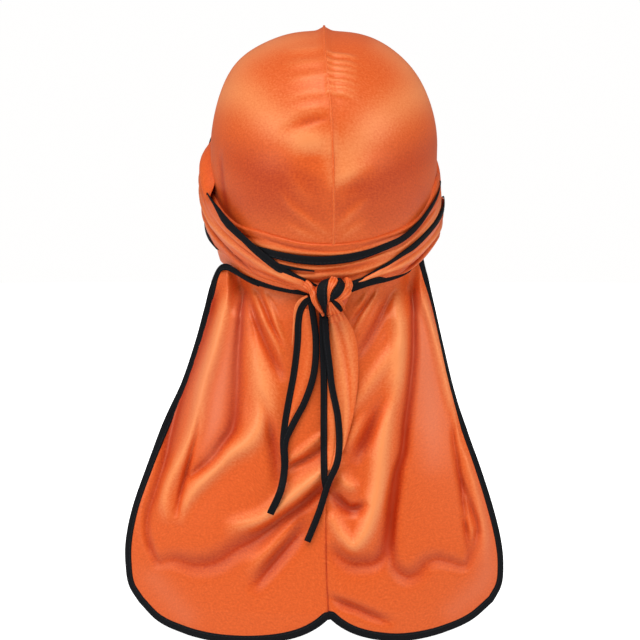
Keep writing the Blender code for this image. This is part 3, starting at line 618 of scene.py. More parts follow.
def cape_panel(name, side):
    """A patch between the hem, the centre seam, the flank and the lobe: each pair of edges is blended
    across, and the blend of the corners is taken away once."""
    outline, corner = cape_outline(side)
    cloth = inset(outline, CAPE_SETBACK)
    flank = cloth[:corner + 1]
    top_column = 1 if side > 0 else 2
    flank = resample(flank[flank[:, 1] < CAPE_TOP[-1, top_column]], CAPE_DOWN + 1)
    bottom = resample(cloth[corner:], CAPE_ACROSS + 1)[::-1]
    seam_z = np.linspace(CAPE_TOP[0, top_column], bottom[0, 1], CAPE_DOWN + 1)
    seam = np.stack([side * seam_x(seam_z), seam_z], -1)
    bottom[0] = seam[-1]
    across = np.linspace(0, 1, CAPE_ACROSS + 1)
    top_x = seam[0, 0] + (flank[0, 0] - seam[0, 0]) * across
    top_z = smooth(top_x, CAPE_TOP, top_column)
    top_z = top_z + (flank[0, 1] - top_z[-1]) * across ** 3
    top = np.stack([top_x, top_z], -1)
    s, t = across[None, :, None], np.linspace(0, 1, CAPE_DOWN + 1)[:, None, None]
    corners = (1 - s) * ((1 - t) * top[0] + t * seam[-1]) + s * ((1 - t) * top[-1] + t * flank[-1])
    patch = ((1 - t) * top[None] + t * bottom[None] + (1 - s) * seam[:, None] + s * flank[:, None]
             - corners)
    x, z = side * patch[..., 0], patch[..., 1]
    waves = CAPE_WAVES[0] * np.sin(x / 11 + z / 19) + CAPE_WAVES[1] * np.sin(z / 9 - x / 23)
    grid = on_cape(x, z, CAPE_STAND + waves - SEAM_GROOVE * bell(x, seam_x(z), 1.1))
    # painted shade in the fold valleys and painted highlight on the ridges, by fold height, and the painted
    # glow
    marks = {"fold": 0.43 + 0.105 * cape_folds(x, z), "painted_glow": fold_lines(x, z, PAINTED_GLOW_LINES)}
    return surface(name, grid, FAR_IN_FRONT, [SATIN_FACE, SATIN_REVERSE], marks, SATIN_WALL)


cape_panels = {}
for label, side in SIDES:
    cape_panels[side] = cape_panel(f"cape_{label}_satin", side)
    settle(cape_panels[side], "satin", f"cape_{label}")

# Cape seam: the cape's two panels are joined by a fine flat seam down the middle, from under the knot to
# the notch between the lobes. It lies sunk between the panels.
CAPE_SEAM_TOP, CAPE_SEAM_END, CAPE_SEAM_SUNK = -176.0, -402.0, 0.42
CAPE_SEAM_WIDTH, CAPE_SEAM_RISE, CAPE_STITCH = 0.9, 0.2, 2.2
seam_heights = np.linspace(CAPE_SEAM_TOP, CAPE_SEAM_END, 230)
seam_line = on_cape(seam_x(seam_heights), seam_heights, CAPE_STAND - CAPE_SEAM_SUNK)
seam_out = np.tile([0.0, 1.0, 0.0], (len(seam_line), 1))
# its fold mark near the deep end paints the sunk seam as a dark line: painted shade
cape_seam = tube("cape_seam_ridge", ridge(seam_line, seam_out, CAPE_SEAM_WIDTH, CAPE_SEAM_RISE, CAPE_STITCH),
                 SATIN_FACE, {"fold": 0.05})
settle(cape_seam, "satin", "cape_seam")

# Edge tape: a black woven tape, folded lengthwise over the cloth's raw edge and held by one row of
# stitches near its inner edge. It borders the ties and tails below, and here the cape: down each flank,
# round the lobe and into the notch.
TAPE_WIDTH, TAPE_THICK = 4.6, 1.5
RIB_STEP, STITCH_STEP = 1.1, 2.8     # along the tape
STITCH_ROW = 0.52                    # where the stitches run, as a share of the way from middle to edge
CAPE_TAPE_INSET, CAPE_TAPE_WIDTH, CAPE_TAPE_STEP = 2.5, 5.6, 1.2
CORNER_NARROWER = 2.7                # how much the tape narrows towards the left corner's end
NOTCH_SHIFT = 0.8                    # both tapes end this far right of the seam, so they meet
SLOPE_STEP = 1.5                     # the cape's slope is taken over this distance on each side
CORNERS = {
    # side: points of (x, y, z) that carry the tape on from the flank, round to its tie or up under it
    1: [(44.6, 65.4, -178.9), (50.0, 63.2, -176.9), (55.6, 59.0, -174.0), (62.0, 53.4, -170.3),
        (67.8, 48.4, -167.7), (71.4, 44.4, -168.4), (73.6, 41.2, -170.8)],
    -1: [(-67.6, 38.2, -158.5), (-67.6, 38.0, -160.0)],
}


def woven_tape():
    """Black tape finish: fine ribs across, a matt nap, and one row of slightly glossier stitches."""
    made, tree, shader = material("edge_tape_weave")
    flat = output(tree, "ShaderNodeUVMap", uv_map="cloth")
    along = output(tree, "ShaderNodeSeparateXYZ", {0: flat}, 1)
    rib, dash = (maths(tree, "SINE", maths(tree, "MULTIPLY", along, 2 * np.pi / (step * MM)))
                 for step in (RIB_STEP, STITCH_STEP))
    nap = output(tree, "ShaderNodeTexNoise", {"Vector": flat, "Scale": 900.0, "Detail": 3.0})
    aside = output(tree, "ShaderNodeAttribute", (), "Fac", attribute_name="aside")
    row = maths(tree, "COMPARE", aside, STITCH_ROW, 0.11)
    stitch = maths(tree, "MULTIPLY", row, maths(tree, "GREATER_THAN", dash, -0.45))
    height = maths(tree, "MULTIPLY_ADD", stitch, 1.6, maths(tree, "MULTIPLY_ADD", rib, 0.35, nap))
    black = ramp(tree, nap, (0.0025, 0.0027, 0.0034, 1), (0.0095, 0.0100, 0.0125, 1))
    colour = output(tree, "ShaderNodeMix", {0: stitch, 6: black, 7: (0.014, 0.015, 0.018, 1)}, 2,
                    data_type="RGBA")
    rough = output(tree, "ShaderNodeMapRange", {"Value": nap, "To Min": 0.5, "To Max": 0.72})
    bump = output(tree, "ShaderNodeBump", {"Height": height, "Strength": 0.5, "Distance": 0.00015})
    feed(tree, shader, {"Base Color": colour, "Roughness": rough, "Normal": bump, "Specular IOR Level": 0.08})
    return made


TAPE_FINISH = woven_tape()


def squared(wave, power):
    """A wave made squarer: its sign times its size to a power."""
    return np.sign(wave) * np.abs(wave) ** power


def square_to(direction, run):
    """Unit directions without their share along the run."""
    direction = direction - (direction * run).sum(1)[:, None] * run
    return direction / np.linalg.norm(direction, axis=1)[:, None]


def tape_rings(path, normal, inward, width, thick):
    """Rings of the folded tape: width cos^0.7 across, thickness sin^0.8 out, with a groove at the stitches
    and flat square ends. The second result is each ring point's place across."""
    run = heading(path)
    normal = square_to(normal, run)
    aside = np.cross(run, normal)
    aside *= np.sign((aside * inward).sum(1))[:, None]
    turn = np.linspace(0, 2 * np.pi, 17)
    flat, high = squared(np.cos(turn), 0.7), squared(np.sin(turn), 0.8)
    high = high * (1 - 0.32 * bell(flat, STITCH_ROW, 0.16) * (high > 0))
    pull = np.sin(2 * np.pi * travelled(path) / STITCH_STEP)[:, None]
    ripple = 1 + 0.05 * pull * bell(flat, STITCH_ROW, 0.3)[None, :]
    width, thick = (np.broadcast_to(size, len(path))[:, None, None] for size in (width, thick))
    rings = (path[:, None] + aside[:, None] * flat[None, :, None] * width / 2
             + normal[:, None] * (high[None, :] * ripple)[..., None] * thick / 2)
    return capped(rings), flat


def tape(name, runs, *replaced):
    """One piece of edge tape from one or more runs of (path, normal, inward, width, thickness)."""
    made = []
    for run in runs:
        rings, aside = tape_rings(*run)
        made.append(tube(name, rings, TAPE_FINISH, {"aside": aside[None, :]}))
    if len(made) > 1:
        with bpy.context.temp_override(active_object=made[0], selected_editable_objects=made,
                                       selected_objects=made):
            bpy.ops.object.join()
    settle(made[0], "edge_tape", *replaced)
    return made[0]


def cape_binding(label, side):
    """The tape on one half: the outline moved in and laid on the cape, facing as the cloth's slope does,
    after a smooth line through the corner's points that turns it round to the head."""
    edge = inset(resample(cape_outline(side)[0], 520), CAPE_TAPE_INSET)
    edge[-1, 0] = side * NOTCH_X - NOTCH_SHIFT
    edge = edge[edge[:, 1] < CORNERS[side][-1][2] - 2.0]
    x, z = side * edge[:, 0], edge[:, 1]
    middle = on_cape(x, z, CAPE_STAND - 0.1)
    slope_x, slope_z = ((cape_y(x + dx, z + dz) - cape_y(x - dx, z - dz)) / (2 * SLOPE_STEP)
                        for dx, dz in ((SLOPE_STEP, 0), (0, SLOPE_STEP)))
    facing = np.stack([-slope_x, np.ones(len(edge)), -slope_z], -1)
    corner = np.array(CORNERS[side] + [tuple(middle[0]), tuple(middle[1])])
    turned = follow(corner, np.arange(0, travelled(corner)[-2], CAPE_TAPE_STEP), 3)
    turning = np.linspace(0, 1, len(turned))[:, None] ** 1.5
    middle = np.concatenate([turned, middle[1:]])
    facing = np.concatenate([outward(turned) * (1 - turning) + facing[0] * turning, facing[1:]])
    width = np.full(len(middle), CAPE_TAPE_WIDTH)
    width[:len(turned)] -= CORNER_NARROWER * (1 - turning[:, 0]) * (side > 0)
    inward = np.array([0.0, 80.0, -300.0]) - middle
    return tape(f"cape_binding_{label}_tape", [(middle, facing, inward, width, TAPE_THICK)],
                f"cape_binding_{label}")


for label, side in SIDES:
    binding = cape_binding(label, side)

# Ties: two long satin bands edged with the same tape. Each crosses the nape, climbs over the other side
# to the forehead, and comes down its own side to the knot. The cloth is narrower than it was cut,
# because it has crumpled lengthwise into soft folds.
TIE_LEFT = np.array([
    # angle in the tie's own direction, top, bottom, stand of the inner face
    (-108, -118.5, -121.5, 2.0), (-102, -127, -136, 2.1), (-96, -134.5, -146.5, 2.2),
    (-89, -141.5, -157.5, 2.4), (-82, -148, -165, 2.8), (-74, -152.5, -167.0, 3.8),
    (-66, -155, -168.4, 4.2), (-52, -153, -174.2, 4.1), (-36, -152, -180.0, 4.1), (-24, -155, -182.9, 4.1),
    (-11, -157.5, -185, 4.1), (0, -158, -185, 4.1), (12, -156.3, -183, 4.1), (24, -153, -179, 4.1),
    (33, -149.2, -175, 4.1), (43, -144.2, -170, 4.1), (53, -135.8, -163, 4.0), (62, -126, -157, 3.9),
    (75, -115, -147, 3.6), (90, -102.5, -138, 2.8), (112, -80, -116, 2.4), (135, -56, -88, 2.4),
    (160, -39, -66, 1.8), (180, -34, -63, 1.8), (200, -38, -65, 3.0), (225, -54, -89, 4.8),
    (250, -75, -120, 6.0), (270, -88, -140.5, 8.0), (282, -102.5, -149.0, 8.4), (291, -115, -155.0, 8.0),
    (300, -124.0, -160.6, 7.3), (308, -132.6, -166.5, 6.8), (315, -141.4, -170, 6.4),
    (323, -150.0, -173.5, 6.4), (334, -161, -177, 6.3), (345, -170, -181, 6.3), (357, -178, -187, 6.3),
])
TIE_RIGHT = np.array([
    (-96, -102, -141, 2.2), (-84, -104, -149, 2.3), (-75, -109, -154, 2.3), (-67, -120, -159, 2.3),
    (-56, -132.5, -166, 2.1), (-46, -138.2, -170, 1.8), (-35, -142.7, -173, 1.8),
    (-24, -146.4, -175.5, 1.8), (-12, -148.8, -179, 1.8), (0, -149.4, -181, 1.8), (12, -148.2, -181, 1.8),
    (24, -144.8, -179, 1.8), (36, -140.8, -175, 1.8), (48, -138, -170, 1.8), (60, -131, -163, 1.8),
    (75, -118, -154, 1.8), (90, -107, -144, 1.8), (110, -90, -127, 1.8), (135, -75, -111, 1.8),
    (160, -69, -99, 1.8), (180, -67, -97, 1.8), (200, -70, -100, 2.6), (225, -82, -116, 4.8),
    (250, -106, -139, 6.4), (268, -121, -150, 6.5), (284, -131, -155, 6.4), (300, -142.6, -165.2, 6.3),
    (310, -150.6, -171.0, 6.3), (317, -155.6, -174.0, 6.3), (326, -162.6, -176.6, 6.3),
    (335, -169.0, -178.4, 6.3), (343, -174.4, -181.2, 6.3), (354, -178, -187, 6.3),
])
TIE_ALONG, TIE_ACROSS, TAPE_ALONG = 560, 34, 620
TUCK, TUCK_SHARE = 2.2, 0.25         # the satin's edge inside its tape's, and at most that share of the band
ROLL_REACH, ROLL_DEPTH = 1.8, 1.9    # how far in a rolled edge begins to curl, and how deep it goes
TAPE_STAND, TAPE_LEAST = 0.85, 1.35  # the tape's middle over the inner face, and over the head at the least
TAPE_UNDER, TAPE_INSIDE = 2.0, 2.6   # how far a hidden tape sinks, and moves in from the edge
TIE_CREASES = [
    # from angle, share of the width, to angle, share of the width, half width, height
    (-90, 0.10, 120, 0.13, 1.1, -0.9), (-80, 0.22, 90, 0.30, 1.4, 0.7), (-60, 0.40, 30, 0.34, 1.2, -1.0),
    (-40, 0.50, 60, 0.55, 1.6, 0.8), (-30, 0.66, 110, 0.62, 1.2, -1.1), (-50, 0.80, 50, 0.84, 1.4, 0.7),
    (30, 0.20, 160, 0.35, 1.5, -1.0), (50, 0.45, 190, 0.60, 1.8, 0.9), (70, 0.75, 210, 0.70, 1.4, -1.0),
    (120, 0.15, 250, 0.28, 1.6, 0.8), (140, 0.48, 240, 0.42, 1.4, -1.1), (150, 0.85, 300, 0.80, 1.5, 0.7),
    (200, 0.22, 330, 0.34, 1.4, -1.0), (220, 0.55, 352, 0.48, 1.9, 1.0), (236, 0.72, 350, 0.74, 1.3, -1.2),
    (250, 0.40, 350, 0.20, 1.4, 0.7), (284, 0.62, 328, 0.96, 0.9, -2.0), (-50, 0.14, 40, 0.16, 0.8, -0.8),
]
ROLLED = {
    # edge: angle in the tie's own direction, how far the tape turns under there (below 0: flattened)
    "left_upper": [(-108, 1), (-56, 1), (-46, 0), (-14, -0.3), (14, -0.35), (26, -0.1), (50, 0), (64, 0.3),
                   (78, 0.75), (88, 1), (108, 1), (140, 0), (226, 0), (244, 0.82), (262, 1), (286, 1),
                   (293, 0.85), (298, 0.6), (302, 0.0), (305, -0.35), (309, -0.5), (313, -0.3), (318, -0.1),
                   (325, -0.25), (337, -0.3), (343, 0.3), (348, 0.7), (357, 0.7)],
    "left_lower": [(-108, 1), (-70, 1), (-62, 0), (-40, 0), (-28, 0.3), (-18, 0.4), (-10, 0), (200, 0),
                   (285, 0), (291, 0.8), (297, 1), (357, 1)],
    "right_upper": [(-96, 1), (100, 1), (140, 0), (226, 0), (242, 0.82), (254, 1), (260, 1), (268, 0.84),
                    (276, 0), (311, 0.05), (318, 0.35), (323, 0.5), (332, 0.65), (345, 0.75), (354, 0.5)],
    "right_lower": [(-96, 0), (26, 0), (44, 1), (114, 1), (140, 0), (236, 0), (258, 1), (302, 1),
                    (312, 0.85), (318, 0.7), (323, 0.45), (328, 0.15), (332, -0.2), (337, -0.4),
                    (341, -0.7), (346, -0.7), (350, -0.3), (354, 0)],
}
SLIVER_STAND = 6.6
SLIVER = np.array([
    # angle, height, width
    (40, -160.0, 2.0), (34, -162.0, 3.4), (26, -164.2, 3.2), (18, -166.0, 2.4), (10, -167.4, 1.4),
    (5, -168.2, 0.8),
])


def rolled(edge, travel):
    """Straight steps between the rows of the edge's table."""
    rows = np.array(ROLLED[edge], float)
    return np.interp(travel, rows[:, 0], rows[:, 1])


def tie_profile(travel, share, height, phase):
    """Height of the cloth over its inner face: low at both edges, puffed between, with the creases."""
    crowned = 0.75 * (1 - np.abs(2 * share - 1) ** 3)
    total = crowned + 0.18 * np.sin(travel / 6.1 + 5 * share + phase) * np.sin(np.pi * share)
    calm = np.clip(1.7 * np.sin(np.pi * share), 0, 1)
    for start, share_start, stop, share_stop, half_width, rise in TIE_CREASES:
        along = np.clip((travel - start) / (stop - start), 0, 1)
        middle = share_start + (share_stop - share_start) * along + 0.03 * np.sin(travel / 9 + phase + start)
        ends = ease(travel, start - 4, start + 14) * (1 - ease(travel, stop - 14, stop + 4))
        total = total + rise * calm * ends * bell((share - middle) * height, 0, half_width)
    return total


def tie_band(name, rows, side, label, phase):
    """The satin between the two edge tapes. Where an edge is rolled it reaches to the band's own edge and
    curls in towards the head over its last millimetres."""
    travel = np.linspace(rows[0, 0], rows[-1, 0], TIE_ALONG + 1)
    top, bottom, stand = (smooth(travel, rows, column) for column in (1, 2, 3))
    roll_upper, roll_lower = (rolled(label + edge, travel).clip(0, 1) for edge in ("_upper", "_lower"))
    tuck = np.minimum(TUCK, TUCK_SHARE * (top - bottom))
    upper, lower = top - tuck * (1 - roll_upper), bottom + tuck * (1 - roll_lower)
    roll_upper, roll_lower = ease(roll_upper, 0.8, 1.0), ease(roll_lower, 0.8, 1.0)
    share = np.linspace(0, 1, TIE_ACROSS + 1)[:, None]
    share = 0.5 - 0.5 * np.cos(np.pi * share) * (1 - 0.25 * np.sin(np.pi * share) ** 2)
    z = upper[None] + (lower - upper)[None] * share
    height = (upper - lower)[None]
    drop, reach_in = stand[None] - 0.1, ROLL_REACH + 1.2 * (stand[None] - 1.8).clip(0)
    curl_upper = drop * np.clip(1 - share * height / reach_in, 0, 1) ** 2 * roll_upper[None]
    curl_lower = ROLL_DEPTH * np.clip(1 - (1 - share) * height / ROLL_REACH, 0, 1) ** 2 * roll_lower[None]
    profile = tie_profile(travel[None], share, height, phase)
    grid = head(-side * travel[None], z, stand[None] + 0.75 + profile - curl_upper - curl_lower)
    # painted shade in the creases and at the edges, painted highlight on the puffed middle, by the cloth's
    # height
    marks = {"fold": 0.36 + 0.26 * profile}
    return surface(name, grid, (0, 0, -110), [SATIN_FACE, SATIN_REVERSE], marks, SATIN_WALL)


def tie_edge(rows, side, edge, begin=None):
    """Run of the tape along one edge of a tie. Where the edge is rolled, the tape narrows, then moves in
    under the cloth. Where it is flattened, the tape widens and stands further out."""
    travel = np.linspace(begin or rows[0, 0], rows[-1, 0], TAPE_ALONG)
    top, bottom, stand = (smooth(travel, rows, column) for column in (1, 2, 3))
    hidden = rolled(edge, travel)
    sunk = ease(hidden, 0.86, 1.0)
    shown = 1 - 0.85 * hidden
    flattened = (shown - 1).clip(0)
    width = np.minimum(TAPE_WIDTH * shown, (0.38 + 1.6 * flattened) * (top - bottom))
    inwards = -1.0 if edge.endswith("upper") else 1.0
    shift = TAPE_INSIDE + (stand - 1.8).clip(0) * (inwards < 0)
    z = np.where(inwards < 0, top, bottom) + inwards * (width / 2 + shift * sunk)
    off = np.maximum(stand + TAPE_STAND - TAPE_UNDER * sunk + 2.4 * flattened, TAPE_LEAST)
    path = head(-side * travel, z, off)
    out = head(-side * travel, z, stand + 5.0) - head(-side * travel, z, stand)
    thick = TAPE_THICK * (1 - 0.55 * hidden.clip(0))
    return path, out, np.tile([0.0, 0.0, inwards], (len(path), 1)), width, thick


def fold_sliver():
    """Run of the right tie's tape where it peeps out of a fold over the left tie."""
    angle = np.linspace(SLIVER[0, 0], SLIVER[-1, 0], 60)
    z, width = smooth(angle, SLIVER, 1), smooth(angle, SLIVER, 2)
    path = head(angle, z, SLIVER_STAND)
    return path, head(angle, z, 12.0) - path, np.tile([0.0, 0.0, 1.0], (60, 1)), width, TAPE_THICK


tie_left_tapes = [
    tape("tie_left_upper_tape", [tie_edge(TIE_LEFT, 1, "left_upper")], "tie_left_upper_binding"),
    tape("tie_left_lower_tape", [tie_edge(TIE_LEFT, 1, "left_lower", -66.0)], "tie_left_lower_binding"),
]
tie_right_tapes = [
    tape("tie_right_upper_tape", [tie_edge(TIE_RIGHT, -1, "right_upper"), fold_sliver()],
         "tie_right_upper_binding"),
    tape("tie_right_lower_tape", [tie_edge(TIE_RIGHT, -1, "right_lower")], "tie_right_lower_binding"),
]
tie_left = tie_band("tie_left_satin", TIE_LEFT, 1, "left", 0.4)
tie_right = tie_band("tie_right_satin", TIE_RIGHT, -1, "right", 2.1)
settle(tie_left, "satin", "tie_left")
settle(tie_right, "satin", "tie_right")

# Knot: the two ties are crossed and pulled through once, tight against the nape. Their black tapes show
# as two loops over a small lump of gathered satin.
KNOT_CENTRE = np.array([-4.2, 90.7, -185.0])
KNOT_RADII = np.array([13.0, 8.2, 11.5])
KNOT_REAR = 5.0
PLEATS, BAND_THICK = 1.5, 2.6
GATHER_RISE = 0.07                   # of the lump's gathers, as a share of its radii
KNOT_BANDS = {
    # name: points of (x, z, lift off the lump, width) along each band
    "knot_left_satin": [(13.0, -176.5, -3.2, 6.0), (9.8, -179.0, -0.6, 5.8), (7.9, -182.4, 0.5, 5.4),
                        (6.5, -187.4, 0.9, 4.6), (4.7, -190.9, 1.0, 3.6), (2.0, -194.5, 0.9, 2.4),
                        (0.0, -198.0, 0.5, 0.8)],
    "knot_middle_satin": [(-7.2, -172.6, -1.0, 6.0), (-5.7, -175.2, 0.7, 6.2), (-4.2, -178.6, 0.9, 4.6),
                          (-3.2, -182.2, 0.8, 2.8), (-2.9, -186.0, 0.4, 1.8), (-2.8, -189.0, 0.0, 1.2)],
    "knot_right_satin": [(-15.8, -173.2, -3.0, 5.6), (-16.8, -177.0, -0.4, 8.0), (-15.0, -181.2, 0.6, 7.8),
                         (-11.0, -185.0, 0.8, 5.4), (-7.2, -187.2, -0.1, 3.2)],
    "knot_edge_satin": [(-5.8, -185.4, 0.3, 1.4), (-9.4, -187.0, 0.9, 2.4), (-12.2, -190.2, 1.0, 2.4),
                        (-13.2, -194.4, 0.1, 1.2)],
    "knot_lower_satin": [(-3.6, -188.2, 0.0, 2.0), (-5.2, -192.0, 0.5, 5.0), (-7.4, -197.0, 0.4, 8.4),
                         (-9.2, -202.0, -0.8, 10.6)],
}
KNOT_TAPES = {
    # name: runs of points of (x, z, lift off the lump, width)
    "knot_left_binding": [[(-5.2, -173.0, -0.6, 3.4), (-1.8, -174.2, 1.2, 5.2), (1.2, -177.6, 2.0, 6.8),
                           (1.7, -182.6, 2.1, 7.2), (1.0, -187.4, 2.0, 6.0), (0.1, -191.6, 1.6, 3.8),
                           (-0.6, -195.6, 1.0, 2.0), (-1.1, -199.4, 0.2, 1.0)]],
    "knot_right_binding": [[(-9.8, -172.9, -0.4, 4.4), (-11.5, -175.3, 1.4, 5.6), (-10.6, -178.8, 2.0, 6.0),
                            (-7.9, -182.4, 2.0, 5.8), (-5.6, -185.4, 1.2, 4.0), (-4.2, -187.0, 0.6, 2.4)],
                           [(-5.0, -186.2, 0.2, 2.0), (-7.4, -188.4, 0.9, 3.2), (-9.8, -191.6, 1.2, 3.0),
                            (-11.8, -195.2, 0.6, 1.4)]],
}


def knot_front(x, z, lift):
    """Points on the lump's front: an ellipsoid, lifted along its own depth."""
    left = 1 - ((x - KNOT_CENTRE[0]) / KNOT_RADII[0]) ** 2 - ((z - KNOT_CENTRE[2]) / KNOT_RADII[2]) ** 2
    return np.stack([x, KNOT_CENTRE[1] + KNOT_RADII[1] * np.sqrt(np.clip(left, 0.0, 1)) + lift, z], -1)


def knot_path(rows, count):
    """A smooth path through a band's points over the lump, its outward directions and its widths."""
    rows = np.array(rows, float)
    want = np.linspace(0, travelled(rows[:, :2])[-1], count)
    x, z, lift, width = follow(rows, want, 2).T
    path = knot_front(x, z, lift)
    out = (path - KNOT_CENTRE) / KNOT_RADII ** 2
    out[:, 1] = np.maximum(out[:, 1], 0.02)
    return path, out / np.linalg.norm(out, axis=1)[:, None], width


def pleated_band(rows):
    """Rings of a gathered band: a flat oval whose outer face is ribbed by cosines, its pleats."""
    path, out, width = knot_path(rows, 60)
    run = heading(path)
    out = square_to(out, run)
    turn = np.linspace(0, 2 * np.pi, 41)
    flat = squared(np.cos(turn), 0.8)
    pleats = np.cos(2 * np.pi * PLEATS * flat)
    high = squared(np.sin(turn), 0.7) * (1 + 0.22 * pleats)
    rings = (path[:, None] + np.cross(run, out)[:, None] * flat[None, :, None] * width[:, None, None] / 2
             + out[:, None] * high[None, :, None] * BAND_THICK / 2)
    # the second result is painted highlight on the pleats' crests and painted shade in their hollows, on the
    # outer face
    return capped(rings), 0.5 + 0.18 * pleats * (np.sin(turn) > 0)


def gathered_lump():
    """An ellipsoid, deeper in front than behind, with gathers as a sine slanting over its front."""
    turn = np.linspace(0, 2 * np.pi, 97)[None, :]
    rise = np.linspace(-np.pi / 2, np.pi / 2, 65)[:, None]
    x, y, z = np.cos(rise) * np.cos(turn), np.cos(rise) * np.sin(turn), np.sin(rise) + 0 * turn
    gathers = GATHER_RISE * np.sin(9 * (x * 0.8 + z * 0.6)) * np.clip(y, 0, 1)
    size, deep = 0.93 + gathers, np.where(y > 0, KNOT_RADII[1], KNOT_REAR)
    ball = np.stack([x * size * KNOT_RADII[0], y * size * deep, z * size * KNOT_RADII[2]], -1)
    return KNOT_CENTRE + ball, gathers


lump, gathers = gathered_lump()
# the lump's low fold mark is painted shade under the bands, and its gathers are painted lighter where they
# rise
knot = tube("knot_lump", lump, SATIN_FACE, {"fold": 0.30 + 2.0 * gathers})
settle(knot, "satin", "knot")
for name, rows in KNOT_BANDS.items():
    rings, marks = pleated_band(rows)
    band = tube(name, rings, SATIN_FACE, {"fold": marks[None, :]})
    settle(band, "satin")
for name, bands in KNOT_TAPES.items():
    runs = [knot_path(rows, 70) for rows in bands]
    runs = [(path, out, KNOT_CENTRE - path, width, TAPE_THICK) for path, out, width in runs]
    tape(name + "_tape", runs, name)

# Tails: the free ends of the ties below the knot. They taper until the two tapes meet and run on as one
# narrow doubled tape, cut square. The right tail's satin stands open as a folded leaf.
TAIL_LEFT = np.array([
    # height, outer edge x, inner edge x, stand off the cape
    (-186.4, 11.0, 6.5, 7.0), (-189, 14.6, 6.4, 6.6), (-192, 17.0, 6.2, 6.2), (-196, 18.8, 5.6, 5.6),
    (-203, 19.9, 4.6, 4.6), (-215.5, 20.4, 3.4, 3.2), (-238, 23.0, 4.8, 1.6), (-257, 26.5, 10.8, 1.2),
    (-272, 29.0, 18.6, 1.1), (-284, 30.2, 24.0, 1.1), (-303, 29.6, 24.6, 1.1), (-316.5, 32.0, 27.0, 1.1),
    (-333, 39.2, 34.2, 1.1),
])
TAIL_LEFT_RIM = np.array([
    (-185.6, 12.4, 9.8, 7.0), (-188.0, 16.6, 13.6, 6.6), (-191.0, 19.4, 16.4, 6.0), (-196, 20.8, 18.4, 5.4),
    (-203, 21.4, 19.6, 4.4), (-211, 21.8, 20.7, 3.6), (-219, 22.2, 21.6, 2.8),
])
TAIL_RIGHT_BODY = np.array([
    (-196, -2.0, -12.5, 6.4), (-204, -1.8, -17.6, 4.6), (-215.5, -1.6, -22.0, 3.2),
    (-233, -1.4, -23.4, 2.0), (-247, -1.2, -22.8, 1.7), (-262, -1.2, -20.8, 1.6), (-278, -1.2, -17.0, 1.5),
    (-290, -1.4, -13.0, 1.5), (-303, -1.6, -5.0, 1.5),
])
TAIL_RIGHT_OUTER = np.array([
    (-194, 3.6, -1.0, 6.8), (-215.5, 3.2, -1.4, 3.6), (-241, 2.6, -2.0, 2.2), (-285, 2.6, -2.0, 1.8),
    (-303, 2.4, -2.2, 1.4), (-310, 2.0, -2.4, 1.2), (-317, 0.8, -3.4, 0.9),
])
TAIL_RIGHT_INNER = np.array([
    (-199.5, 1.9, -2.7, 8.0), (-215.5, 0.8, -3.8, 5.8), (-233, -1.3, -5.9, 4.2), (-247, -2.9, -7.5, 3.8),
    (-268, -7.0, -11.6, 3.6), (-290, -7.6, -12.3, 3.4), (-300, -5.6, -10.4, 3.2), (-310, -0.9, -5.8, 2.8),
    (-332.5, 6.3, 1.4, 1.6), (-352, 14.2, 9.3, 1.3),
])
LEAF_FOLDS = [
    # height, place across at the knot, how fast it moves across on the way down, half width
    (0.9, 0.15, 0.85, 0.10), (-0.7, 0.38, 0.75, 0.08), (0.6, 0.62, 0.45, 0.09), (-0.5, 0.02, 0.5, 0.06),
]
TAIL_FLAT_LEFT, TAIL_FLAT_RIGHT = (0.016, 0.100), (0.030, 0.115)
TAIL_STEPS, TAIL_TAPE_STAND = 220, 0.35


def lie_on_cape(x, z):
    """Depth of something stiffer than the cape that lies on it: the highest cloth within 3 mm, evened out
    along its length by a running mean."""
    around = [cape_y(x + dx, z + dz) for dx in (-3, 0, 3) for dz in (-6, -3, 0, 3, 6)]
    highest = np.max(around, 0) + CAPE_STAND
    spread = np.ones(21) / 21
    padded = np.concatenate([np.repeat(highest[:1], 10, 0), highest, np.repeat(highest[-1:], 10, 0)])
    return np.apply_along_axis(lambda column: np.convolve(column, spread, "valid"), 0, padded)


def tail_tape(rows, outer_edge, start=None):
    """Run of the tape along one edge of a tail, from the knot down to its cut end."""
    z = np.linspace(start or rows[0, 0], rows[-1, 0], TAIL_STEPS)
    outer, inner, stand = (smooth(z, rows, k) for k in (1, 2, 3))
    width = np.minimum(TAPE_WIDTH, outer - inner)
    x = outer - width / 2 if outer_edge else inner + width / 2
    path = np.stack([x, lie_on_cape(x, z) + stand + TAIL_TAPE_STAND, z], -1)
    out, inward = ([0.0, 1.0, 0.0], [-1.0 if outer_edge else 1.0, 0.0, 0.0])
    return path, np.tile(out, (TAIL_STEPS, 1)), np.tile(inward, (TAIL_STEPS, 1)), width, TAPE_THICK


def tail_leaf(name, rows, down, across, shape, trim):
    """Satin between a tail's edges, each moved in by its trim: rows run down, columns across, and the
    cloth is lifted by shape(share, z) off a straight blend of the cape's depth under its two edges."""
    z = np.linspace(*down, 150)[:, None]
    outer, inner, stand = (smooth(z, rows, k) for k in (1, 2, 3))
    share = np.linspace(0, 1, across)[None, :]
    x = outer - trim[0] + (inner + trim[1] - outer + trim[0]) * share
    lift = shape(share, z)
    under = (lie_on_cape(outer - TAPE_WIDTH / 2, z) * (1 - share)
             + lie_on_cape(inner + TAPE_WIDTH / 2, z) * share)
    grid = np.stack([x, under + stand + lift, z + 0 * x], -1)
    # painted highlight where the leaf's cloth rises and painted shade where it sinks
    marks = {"fold": 0.45 + 0.2 * lift}
    return surface(name, grid, FAR_IN_FRONT, [SATIN_FACE, SATIN_REVERSE], marks, SATIN_WALL)


def left_leaf(share, z):
    """A shallow trough with one soft fold down its middle."""
    return 0.2 + 0.5 * bell(share, 0.5 + 0.1 * np.sin(z / 13), 0.16) - 0.25 * np.sin(np.pi * share)


